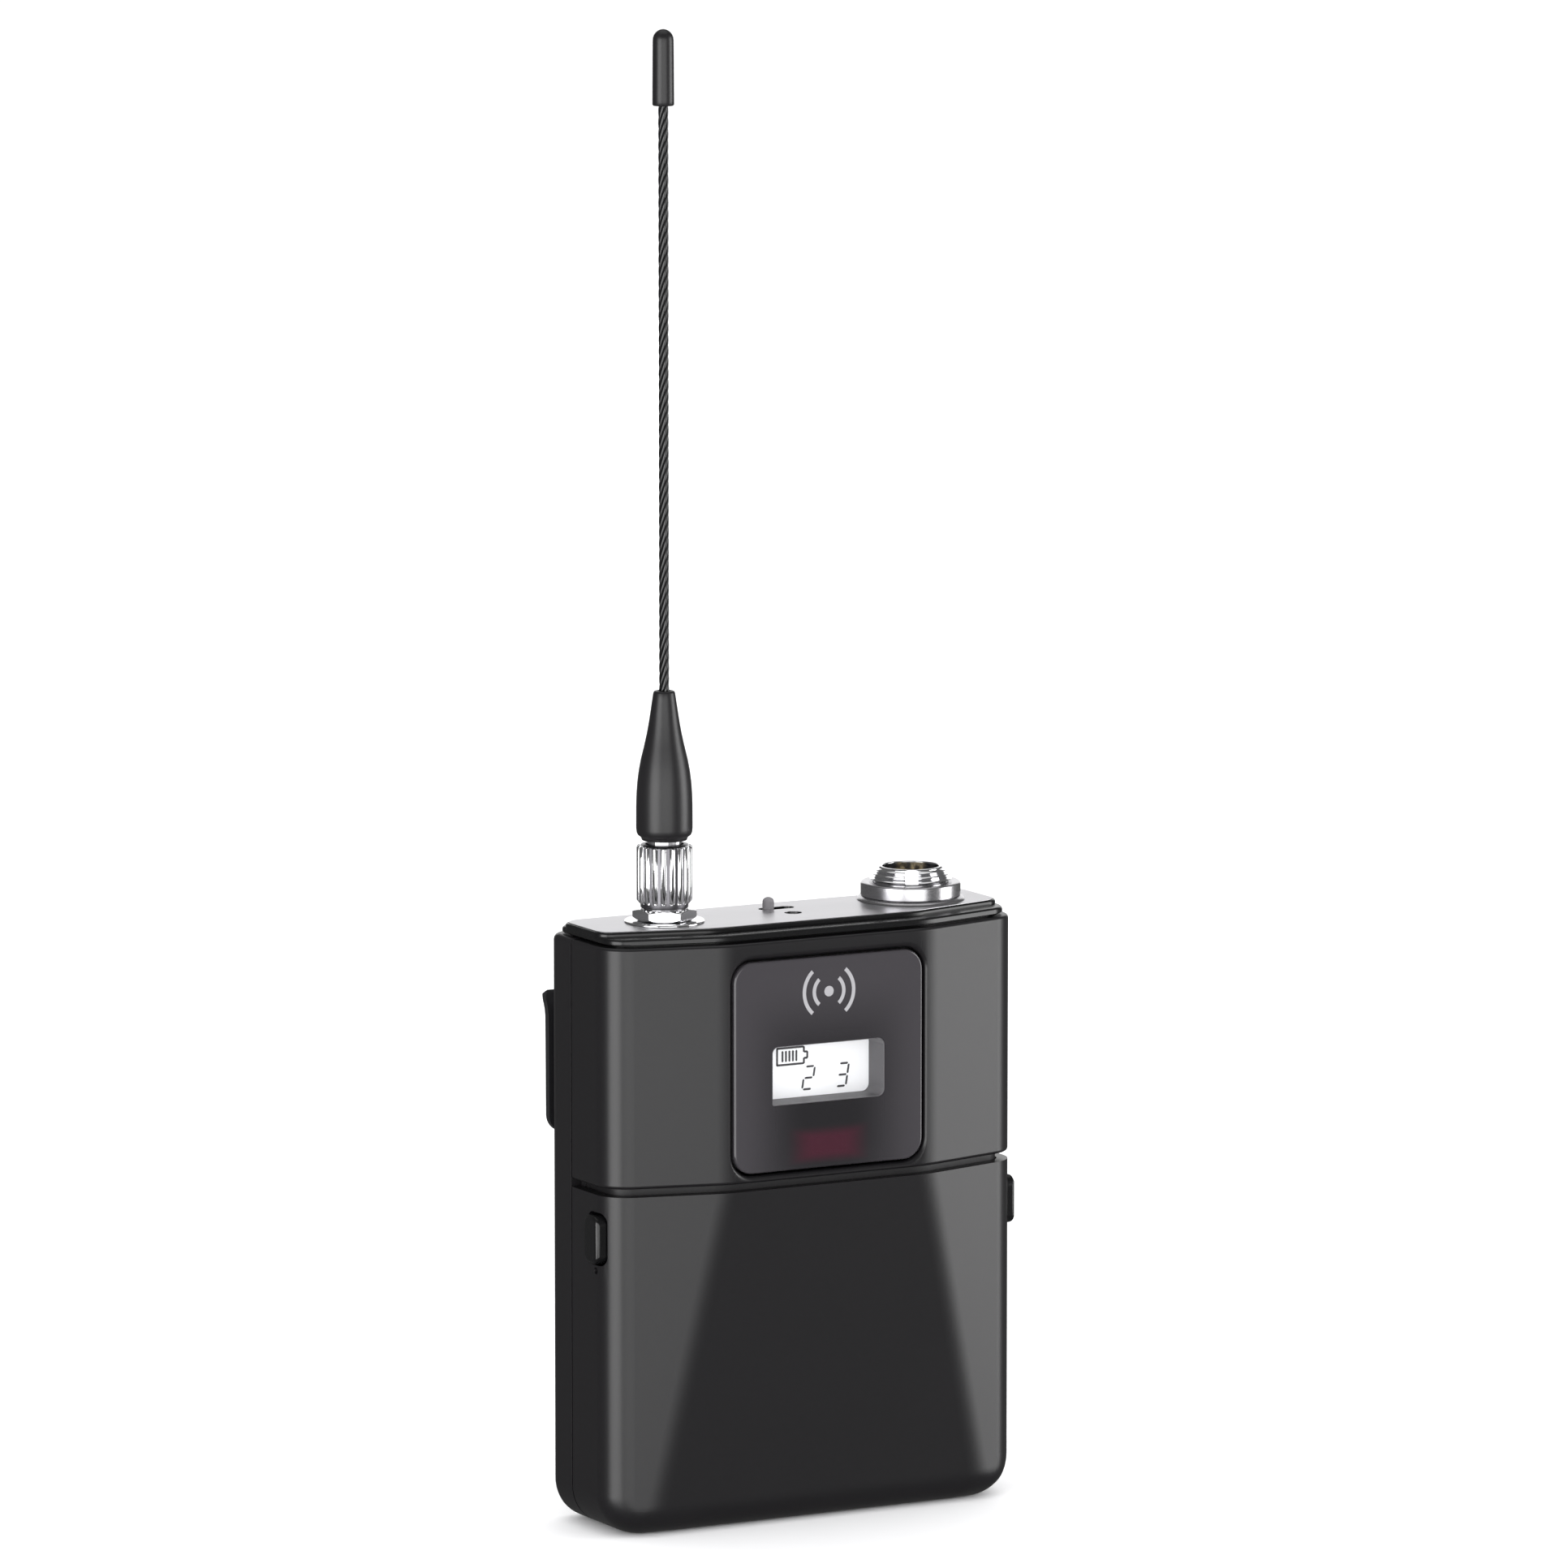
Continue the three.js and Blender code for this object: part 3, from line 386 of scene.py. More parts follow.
@dataclass(frozen=True)
class ClearFinish(Finish):
    """Clear moulded plastic, thin enough to look through."""

    alpha: float = 0.1

    def material(self) -> bpy.types.Material:
        """Builds the finish and lets most of the light through.

        Returns:
            The material.
        """
        made = super().material()
        made.node_tree.nodes["Principled BSDF"].inputs["Alpha"].default_value = self.alpha
        return made


# Cast metal under a fine charcoal powder coat: even, satin, with a soft sheen along its edges.
COATED_METAL = Finish("powder_coated_metal", "111012", 0.33, grain_mm=0.22, grain_depth_mm=0.003, mottle=0.05)
# Moulded ABS of the top cap and latches: deep black, a little glossier than the coat.
BLACK_ABS = Finish("moulded_black_abs", "09090a", 0.25, grain_mm=0.3, grain_depth_mm=0.002)
# Satin anodised aluminium of the top plate, brushed along its length.
SATIN_ALUMINIUM = Finish(
    "brushed_satin_aluminium", "dddcdf", 0.36, metallic=1.0, grain=Grain.BRUSHED_X, grain_mm=0.06,
    grain_depth_mm=0.002,
)
# Smoked polycarbonate, polished and back-printed dark: glossy with hardly any texture.
SMOKED_PANEL = SmokedFinish(
    "smoked_polycarbonate", "323033", 0.16, ior=1.58, grain_mm=0.8, grain_depth_mm=0.0006, gloss_spread=0.02
)
# The same sheet over the infrared port, where it is left clear enough to look dark red.
INFRARED_WINDOW = SmokedFinish(
    "infrared_polycarbonate", "323033", 0.15, ior=1.58, grain_mm=0.8, grain_depth_mm=0.0006, gloss_spread=0.02
)
# Clear polycarbonate of the display's pane and the status light.
CLEAR_PANE = ClearFinish("clear_polycarbonate", "2a2b2c", 0.05, ior=1.58, grain_mm=0.8, grain_depth_mm=0.0002)
# The lit face of a reflective liquid-crystal display.
DISPLAY_FACE = Finish(
    "backlit_display", "f7f8fa", 0.35, grain_mm=0.4, grain_depth_mm=0.0005, mottle=0.01, glow=0.32
)
# Display segments: dark grey, a little see-through on the real one.
DISPLAY_INK = Finish("display_segments", "4a494c", 0.5, grain_mm=0.2, grain_depth_mm=0.0005)
# Grey moulded frame around the display.
GREY_FRAME = Finish("moulded_grey_abs", "535154", 0.45, grain_mm=0.25, grain_depth_mm=0.003)
# Grey acetal of the power knob and the two keys.
GREY_ACETAL = Finish("moulded_grey_acetal", "6f6d70", 0.42, ior=1.48, grain_mm=0.2, grain_depth_mm=0.003)
# Light ink printed on the panel.
PRINT_INK = Finish("light_grey_print", "8a898c", 0.5, grain_mm=0.15, grain_depth_mm=0.001)
# Thermoplastic rubber of the antenna's boot and tip.
BOOT_RUBBER = Finish("moulded_rubber", "131214", 0.36, grain_mm=0.35, grain_depth_mm=0.004, mottle=0.1)
# Glossy jacket over the whip's twisted steel strands.
WHIP_JACKET = Finish("coated_steel_strand", "070708", 0.16, grain_mm=0.3, grain_depth_mm=0.002, coat=0.4)
# Bright chrome plate on turned brass.
CHROME = Finish(
    "chrome_plate", "e6e5e8", 0.06, metallic=1.0, grain_mm=0.15, grain_depth_mm=0.0005, gloss_spread=0.02
)
# Darker, rougher nickel on the turned core at the bottom of the flutes: painted shade standing in for the
# shade in the grooves.
FLUTE_SHADE_NICKEL = Finish("dull_nickel_plate", "77767a", 0.34, metallic=1.0, grain_mm=0.2, grain_depth_mm=0.002)
# Satin nickel plate on the ring nut and washer, with fine turning marks.
SATIN_NICKEL = Finish(
    "satin_nickel_plate", "c9c8cb", 0.26, metallic=1.0, grain=Grain.TURNED_Z, grain_mm=0.2,
    grain_depth_mm=0.0015,
)
# Gold flash on the contact pins.
GOLD_FLASH = Finish("gold_flash", "cdb98c", 0.24, metallic=1.0, grain_mm=0.15, grain_depth_mm=0.0005)
# Plain zinc-plated steel of screws, springs and contact plates.
ZINC_STEEL = Finish("zinc_plated_steel", "a9a9ad", 0.3, metallic=1.0, grain_mm=0.12, grain_depth_mm=0.001)
# Spring steel with a black electro-coat.
BLACK_SPRING_STEEL = Finish(
    "black_coated_spring_steel", "19191b", 0.32, metallic=0.0, grain_mm=0.3, mottle=0.1
)
# Matt moulded ABS of the battery tray.
TRAY_ABS = Finish("matt_black_abs", "151416", 0.5, grain_mm=0.2, grain_depth_mm=0.006)
# Woven glass circuit boards under solder mask.
SOLDER_MASK = BoardFinish("green_solder_mask", "123c26", 0.35, grain_mm=0.3, grain_depth_mm=0.003)
# Brushed aluminium blank of the back label.
LABEL_PLATE = Finish(
    "brushed_label_plate", "b7b6b9", 0.35, metallic=1.0, grain=Grain.BRUSHED_X, grain_mm=0.08,
    grain_depth_mm=0.002,
)


# ---------------------------------------------------------------- meshes


@dataclass(frozen=True)
class NodeBox:
    """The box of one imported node, in millimetres."""

    x0: float
    x1: float
    y0: float
    y1: float
    z0: float
    z1: float

    @classmethod
    def of(cls, node: str) -> "NodeBox":
        """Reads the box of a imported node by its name."""
        low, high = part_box(node)
        return cls(low.x / MM, high.x / MM, low.y / MM, high.y / MM, low.z / MM, high.z / MM)

    @property
    def cx(self) -> float:
        """The middle along X."""
        return (self.x0 + self.x1) / 2

    @property
    def cy(self) -> float:
        """The middle along Y."""
        return (self.y0 + self.y1) / 2

    @property
    def cz(self) -> float:
        """The middle along Z."""
        return (self.z0 + self.z1) / 2

    @property
    def radius(self) -> float:
        """Half the width, which is the radius of a round node."""
        return (self.x1 - self.x0) / 2


def rounded_loop(corners: Sequence[tuple[float, float, float]], steps: int = 8) -> Loop:
    """Rounds the corners of a polygon.

    Args:
        corners: x, y and corner radius of each corner, in order.
        steps: segments in each rounded corner.

    Returns:
        The points of the closed loop.
    """
    points: Loop = []
    for i, (x, y, radius) in enumerate(corners):
        if radius <= 0:
            points.append((x, y))
            continue
        here = Vector((x, y))
        before = (Vector(corners[i - 1][:2]) - here).normalized()
        after = (Vector(corners[(i + 1) % len(corners)][:2]) - here).normalized()
        half = math.acos(max(-1.0, min(1.0, before.dot(after)))) / 2
        reach = radius / math.tan(half)
        centre = here + (before + after).normalized() * (radius / math.sin(half))
        start = here + before * reach - centre
        end = here + after * reach - centre
        first = math.atan2(start.y, start.x)
        sweep = math.atan2(end.y, end.x) - first
        sweep -= 2 * math.pi * round(sweep / (2 * math.pi))
        for k in range(steps + 1):
            angle = first + sweep * k / steps
            points.append((centre.x + radius * math.cos(angle), centre.y + radius * math.sin(angle)))
    return points


def rectangle(x0: float, x1: float, y0: float, y1: float, radius: float = 0.0, steps: int = 6) -> Loop:
    """Returns a rectangle with equal rounded corners."""
    return rounded_loop([(x0, y0, radius), (x1, y0, radius), (x1, y1, radius), (x0, y1, radius)], steps)


def circle(x: float, y: float, radius: float, count: int = 48) -> Loop:
    """Returns a circle as a closed loop."""
    turn = 2 * math.pi / count
    return [(x + radius * math.cos(i * turn), y + radius * math.sin(i * turn)) for i in range(count)]


def spun(loop: Loop, centre: Point2, degrees: float) -> Loop:
    """Turns a loop about a centre.

    Args:
        loop: Loop to turn.
        centre: Centre of the shape.
        degrees: Angle to turn by.

    Returns:
        The turned loop.
    """
    c, s = math.cos(math.radians(degrees)), math.sin(math.radians(degrees))
    offsets = [(a - centre[0], b - centre[1]) for a, b in loop]
    return [(centre[0] + a * c - b * s, centre[1] + a * s + b * c) for a, b in offsets]


def mesh_piece(name: str, points: Iterable[Point3], faces: Iterable[Sequence[int]]) -> Piece:
    """Makes an object at the origin from points in millimetres.

    Args:
        name: the piece's name.
        points: its vertices.
        faces: vertex numbers of each face.

    Returns:
        The new object, linked to the scene, with its faces pointing outwards.
    """
    mesh = bpy.data.meshes.new(name)
    mesh.from_pydata([tuple(c * MM for c in p) for p in points], [], [tuple(f) for f in faces])
    work = bmesh.new()
    work.from_mesh(mesh)
    bmesh.ops.remove_doubles(work, verts=work.verts, dist=1e-7)
    bmesh.ops.recalc_face_normals(work, faces=work.faces)
    work.to_mesh(mesh)
    work.free()
    piece = bpy.data.objects.new(name, mesh)
    bpy.context.scene.collection.objects.link(piece)
    return piece


def loft(name: str, rings: Sequence[Sequence[Point3]], closed: bool = False) -> Piece:
    """Skins rings of equal length into one closed body.

    Args:
        name: the piece's name.
        rings: the rings in order.
        closed: joins the last ring to the first, in place of two end caps.

    Returns:
        The new object.
    """
    count = len(rings[0])
    points = [p for ring in rings for p in ring]
    faces: list[Sequence[int]] = []
    last = len(rings) if closed else len(rings) - 1
    for level in range(last):
        above = (level + 1) % len(rings)
        for i in range(count):
            j = (i + 1) % count
            faces.append((level * count + i, level * count + j, above * count + j, above * count + i))
    if not closed:
        faces.append(tuple(range(count)))
        faces.append(tuple((len(rings) - 1) * count + i for i in range(count)))
    return mesh_piece(name, points, faces)


def lay(loop: Loop, at: float, axis: Axis = Axis.Z) -> list[Point3]:
    """Lays a loop across an axis at one place along it."""
    return [axis.place(a, b, at) for a, b in loop]


def quarter(steps: int) -> list[Point2]:
    """Returns the cosine and sine of evenly spaced angles from 0 to 90 degrees."""
    angles = [math.pi / 2 * i / steps for i in range(steps + 1)]
    return [(math.cos(a), math.sin(a)) for a in angles]


def prism(name: str, loop: Loop, axis: Axis, low: float, high: float) -> Piece:
    """Extrudes a loop along an axis between two places."""
    return loft(name, [lay(loop, at, axis) for at in (low, high)])


def turned(
    name: str, profile: Sequence[Point2], centre: Point2, axis: Axis = Axis.Z, count: int = 64
) -> Piece:
    """Turns a profile about an axis.

    Args:
        name: the piece's name.
        profile: radius and place along the axis, closed on itself or ending on the axis.
        centre: where the axis stands, in its plane.
        axis: the axis to turn about.
        count: segments around.

    Returns:
        The new object.
    """
    rings = []
    for i in range(count):
        angle = 2 * math.pi * i / count
        ring = [
            axis.place(centre[0] + r * math.cos(angle), centre[1] + r * math.sin(angle), at)
            for r, at in profile
        ]
        rings.append(ring)
    return loft(name, rings, closed=True)


def plain_mesh(piece: Piece) -> Piece:
    """Makes what the modifiers give the piece's own mesh, and drops the modifiers.

    Args:
        piece: Piece to change.

    Returns:
        The same piece.
    """
    bpy.context.view_layer.update()
    shown = piece.evaluated_get(bpy.context.evaluated_depsgraph_get())
    mesh = bpy.data.meshes.new_from_object(shown)
    mesh.name = piece.name
    piece.modifiers.clear()
    piece.data = mesh
    return piece


def combine(piece: Piece, other: Piece, how: str = "DIFFERENCE") -> Piece:
    """Cuts or joins another solid into a piece, and removes the other.

    Args:
        piece: Piece to change.
        other: Solid to cut away or to join.
        how: Boolean operation.

    Returns:
        The changed piece.
    """
    change = piece.modifiers.new("combine", "BOOLEAN")
    change.operation = how
    change.solver = "EXACT"
    change.object = other
    plain_mesh(piece)
    bpy.data.objects.remove(other)
    return piece


def cut(piece: Piece, loop: Loop, axis: Axis, low: float, high: float) -> Piece:
    """Cuts an extruded loop out of a piece."""
    return combine(piece, prism("cutter", loop, axis, low, high))


def soften(piece: Piece, width: float, segments: int = 2, angle: float = 35.0) -> Piece:
    """Rounds the sharp edges of a piece and evens out its shading.

    Args:
        piece: the piece to finish.
        width: the rounding's width in millimetres, or 0 for none.
        segments: segments across each rounded edge.
        angle: edges sharper than this many degrees are rounded.

    Returns:
        The same piece, with a plain mesh.
    """
    work = bmesh.new()
    work.from_mesh(piece.data)
    bmesh.ops.remove_doubles(work, verts=work.verts, dist=2e-6)
    bmesh.ops.dissolve_degenerate(work, edges=work.edges, dist=1e-6)
    work.to_mesh(piece.data)
    work.free()
    if width > 0:
        edge = piece.modifiers.new("edge", "BEVEL")
        edge.width = width * MM
        edge.segments = segments
        edge.limit_method = "ANGLE"
        edge.angle_limit = math.radians(angle)
        edge.miter_outer = "MITER_ARC"
        plain_mesh(piece)
    for polygon in piece.data.polygons:
        polygon.use_smooth = True
    piece.data.set_sharp_from_angle(angle=math.radians(SHARP_DEGREES))
    weigh = piece.modifiers.new("weigh", "WEIGHTED_NORMAL")
    weigh.keep_sharp = True
    weigh.weight = 90
    return plain_mesh(piece)


def dress(piece: Piece, finish: Finish, body: str, stands_for: Sequence[str] = ()) -> Piece:
    """Gives a piece its finish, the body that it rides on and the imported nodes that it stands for.

    Args:
        piece: Piece to change.
        finish: Finish to give.
        body: Body that it rides on.
        stands_for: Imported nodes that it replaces.

    Returns:
        The same piece.
    """
    piece.data.materials.clear()
    piece.data.materials.append(finish.material())
    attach(piece, body)
    if stands_for:
        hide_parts(*stands_for)
    LOG.info("%s: %d faces on %s", piece.name, len(piece.data.polygons), body)
    return piece


def dress_node(node: str, finish: Finish) -> None:
    """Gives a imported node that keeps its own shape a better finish.

    Args:
        node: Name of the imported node.
        finish: Finish to give.
    """
    shown = frame["nodes"][node]
    if not shown.material_slots:
        shown.data.materials.append(finish.material())
    for held in shown.material_slots:
        held.material = finish.material()
    LOG.info("%s: packed shape, %s", node, finish.name)


# ---------------------------------------------------------------- geometry node trees


@dataclass
class PatternTree:
    """A geometry node tree with named inputs, built once and run on small carrier objects."""

    name: str
    inputs: dict[str, str]
    wire: Callable[[Tree, Node], Socket]
    tree: Tree = field(init=False)

    def __post_init__(self) -> None:
        """Builds the tree: inputs, the pattern, Realize Instances and Set Material."""
        self.tree = bpy.data.node_groups.new(self.name, "GeometryNodeTree")
        face = self.tree.interface
        face.new_socket(name="Geometry", in_out="OUTPUT", socket_type="NodeSocketGeometry")
        face.new_socket(name="Geometry", in_out="INPUT", socket_type="NodeSocketGeometry")
        for label, kind in self.inputs.items():
            face.new_socket(name=label, in_out="INPUT", socket_type=f"NodeSocket{kind}")
        face.new_socket(name="Finish", in_out="INPUT", socket_type="NodeSocketMaterial")
        start = put(self.tree, "NodeGroupInput")
        shape = self.wire(self.tree, start)
        real = put(self.tree, "GeometryNodeRealizeInstances", links={0: shape})
        dressed = put(
            self.tree, "GeometryNodeSetMaterial",
            links={"Geometry": real.outputs[0], "Material": start.outputs["Finish"]},
        )
        put(self.tree, "NodeGroupOutput", links={0: dressed.outputs[0]})

    def run(
        self, name: str, finish: Finish, points: Sequence[Point3] = ((0.0, 0.0, 0.0),), **values: object
    ) -> Piece:
        """Runs the tree on a carrier made of loose points and keeps the result as a plain mesh.

        Args:
            name: the finished piece's name.
            finish: what the piece is made of.
            points: the carrier's points in millimetres.
            values: values of the named inputs, with underscores for spaces.

        Returns:
            The finished piece.
        """
        mesh = bpy.data.meshes.new(name)
        mesh.from_pydata([tuple(c * MM for c in p) for p in points], [], [])
        piece = bpy.data.objects.new(name, mesh)
        bpy.context.scene.collection.objects.link(piece)
        runner = piece.modifiers.new("pattern", "NODES")
        runner.node_group = self.tree
        for item in self.tree.interface.items_tree:
            key = item.name.replace(" ", "_")
            if item.in_out == "INPUT" and key in values:
                runner[item.identifier] = values[key]
            if item.in_out == "INPUT" and item.name == "Finish":
                runner[item.identifier] = finish.material()
        plain_mesh(piece)
        for polygon in piece.data.polygons:
            polygon.use_smooth = True
        piece.data.set_sharp_from_angle(angle=math.radians(SHARP_DEGREES))
        return piece


def wire_copies(tree: Tree, start: Node) -> Socket:
    """Puts a copy of one piece at every point of the carrier.

    Args:
        tree: Node tree that is being wired.
        start: Input node of the tree.

    Returns:
        The geometry that the tree gives.
    """
    source = put(tree, "GeometryNodeObjectInfo", {"As Instance": False}, {"Object": start.outputs["Piece"]})
    copies = put(
        tree, "GeometryNodeInstanceOnPoints",
        links={"Points": start.outputs["Geometry"], "Instance": source.outputs["Geometry"]},
    )
    return copies.outputs["Instances"]


def wire_ring(tree: Tree, start: Node) -> Socket:
    """Sets copies of one piece in a ring about Z, each turned to face outwards.

    Args:
        tree: Node tree that is being wired.
        start: Input node of the tree.

    Returns:
        The geometry that the tree gives.
    """
    source = put(tree, "GeometryNodeObjectInfo", {"As Instance": False}, {"Object": start.outputs["Piece"]})
    row = put(tree, "GeometryNodeMeshLine", {"Offset": (0.0, 0.0, 0.0)}, {"Count": start.outputs["Count"]})
    number = put(tree, "GeometryNodeInputIndex")
    share = put(
        tree, "ShaderNodeMath", links={0: number.outputs[0], 1: start.outputs["Count"]}, operation="DIVIDE"
    )
    angle = put(tree, "ShaderNodeMath", {1: 2 * math.pi}, {0: share.outputs[0]}, operation="MULTIPLY")
    turn = put(tree, "ShaderNodeCombineXYZ", links={"Z": angle.outputs[0]})
    copies = put(
        tree, "GeometryNodeInstanceOnPoints",
        links={
            "Points": row.outputs["Mesh"], "Instance": source.outputs["Geometry"],
            "Rotation": turn.outputs["Vector"],
        },
    )
    placed = put(
        tree, "GeometryNodeTransform",
        links={"Geometry": copies.outputs["Instances"], "Translation": start.outputs["Centre"]},
    )
    joined = put(tree, "GeometryNodeJoinGeometry")
    tree.links.new(placed.outputs["Geometry"], joined.inputs[0])
    return joined.outputs[0]


def wire_twist(tree: Tree, start: Node) -> Socket:
    """Lays several round strands about one upright axis as a rope.

    Args:
        tree: Node tree that is being wired.
        start: Input node of the tree.

    Returns:
        The geometry that the tree gives.
    """
    top = put(tree, "ShaderNodeCombineXYZ", links={"Z": start.outputs["Length"]})
    line = put(tree, "GeometryNodeCurvePrimitiveLine", links={"End": top.outputs["Vector"]})
    even = put(
        tree, "GeometryNodeResampleCurve", links={"Curve": line.outputs[0], "Count": start.outputs["Steps"]}
    )
    spot = put(tree, "GeometryNodeInputPosition")
    parts = put(tree, "ShaderNodeSeparateXYZ", links={"Vector": spot.outputs[0]})
    turns = put(
        tree, "ShaderNodeMath", links={0: parts.outputs["Z"], 1: start.outputs["Pitch"]}, operation="DIVIDE"
    )
    angle = put(tree, "ShaderNodeMath", {1: 2 * math.pi}, {0: turns.outputs[0]}, operation="MULTIPLY")
    sine = put(tree, "ShaderNodeMath", links={0: angle.outputs[0]}, operation="SINE")
    cosine = put(tree, "ShaderNodeMath", links={0: angle.outputs[0]}, operation="COSINE")
    unit = put(tree, "ShaderNodeCombineXYZ", links={"X": cosine.outputs[0], "Y": sine.outputs[0]})
    offset = put(
        tree, "ShaderNodeVectorMath", links={0: unit.outputs[0], "Scale": start.outputs["Lay radius"]},
        operation="SCALE",
    )
    wound = put(
        tree, "GeometryNodeSetPosition", links={"Geometry": even.outputs[0], "Offset": offset.outputs[0]}
    )
    section = put(
        tree, "GeometryNodeCurvePrimitiveCircle", {"Resolution": 10},
        {"Radius": start.outputs["Strand radius"]},
    )
    strand = put(
        tree, "GeometryNodeCurveToMesh", {"Fill Caps": True},
        {"Curve": wound.outputs[0], "Profile Curve": section.outputs[0]},
    )
    row = put(tree, "GeometryNodeMeshLine", {"Offset": (0.0, 0.0, 0.0)}, {"Count": start.outputs["Count"]})
    number = put(tree, "GeometryNodeInputIndex")
    share = put(
        tree, "ShaderNodeMath", links={0: number.outputs[0], 1: start.outputs["Count"]}, operation="DIVIDE"
    )
    phase = put(tree, "ShaderNodeMath", {1: 2 * math.pi}, {0: share.outputs[0]}, operation="MULTIPLY")
    turn = put(tree, "ShaderNodeCombineXYZ", links={"Z": phase.outputs[0]})
    strands = put(
        tree, "GeometryNodeInstanceOnPoints",
        links={"Points": row.outputs["Mesh"], "Instance": strand.outputs[0], "Rotation": turn.outputs[0]},
    )
    placed = put(
        tree, "GeometryNodeTransform",
        links={"Geometry": strands.outputs[0], "Translation": start.outputs["Base"]},
    )
    return placed.outputs[0]


def wire_coil(tree: Tree, start: Node) -> Socket:
    """Winds one wire into a coil that narrows from a wide foot to a small tip.

    Args:
        tree: Node tree that is being wired.
        start: Input node of the tree.

    Returns:
        The geometry that the tree gives.
    """
    coil = put(
        tree, "GeometryNodeCurveSpiral", {"Resolution": 28},
        {
            "Rotations": start.outputs["Turns"], "Start Radius": start.outputs["Foot radius"],
            "End Radius": start.outputs["Tip radius"], "Height": start.outputs["Length"],
        },
    )
    section = put(
        tree, "GeometryNodeCurvePrimitiveCircle", {"Resolution": 10}, {"Radius": start.outputs["Wire radius"]}
    )
    wire = put(
        tree, "GeometryNodeCurveToMesh", {"Fill Caps": True},
        {"Curve": coil.outputs[0], "Profile Curve": section.outputs[0]},
    )
    placed = put(
        tree, "GeometryNodeTransform",
        links={
            "Geometry": wire.outputs[0], "Translation": start.outputs["Base"],
            "Rotation": start.outputs["Turn"],
        },
    )
    return placed.outputs[0]


@dataclass
class Patterns:
    """The four pattern trees that the sub-assemblies share."""

    copies: PatternTree = field(
        default_factory=lambda: PatternTree("copies_at_points", {"Piece": "Object"}, wire_copies)
    )
    ring: PatternTree = field(
        default_factory=lambda: PatternTree(
            "copies_in_a_ring", {"Piece": "Object", "Count": "Int", "Centre": "Vector"}, wire_ring
        )
    )
    twist: PatternTree = field(
        default_factory=lambda: PatternTree(
            "twisted_strands",
            {
                "Count": "Int", "Steps": "Int", "Length": "Float", "Pitch": "Float", "Lay radius": "Float",
                "Strand radius": "Float", "Base": "Vector",
            },
            wire_twist,
        )
    )
    coil: PatternTree = field(
        default_factory=lambda: PatternTree(
            "tapered_coil",
            {
                "Turns": "Float", "Foot radius": "Float", "Tip radius": "Float", "Length": "Float",
                "Wire radius": "Float", "Base": "Vector", "Turn": "Vector",
            },
            wire_coil,
        )
    )

    def place_copies(self, name: str, source: Piece, finish: Finish, points: Sequence[Point3]) -> Piece:
        """Repeats a piece at points, and removes the single one.

        Args:
            name: Name of the piece.
            source: Single piece to repeat.
            finish: Finish to give.
            points: Places of the copies.

        Returns:
            The repeated piece.
        """
        made = self.copies.run(name, finish, points, Piece=source)
        bpy.data.objects.remove(source)
        return made


# ---------------------------------------------------------------- the case


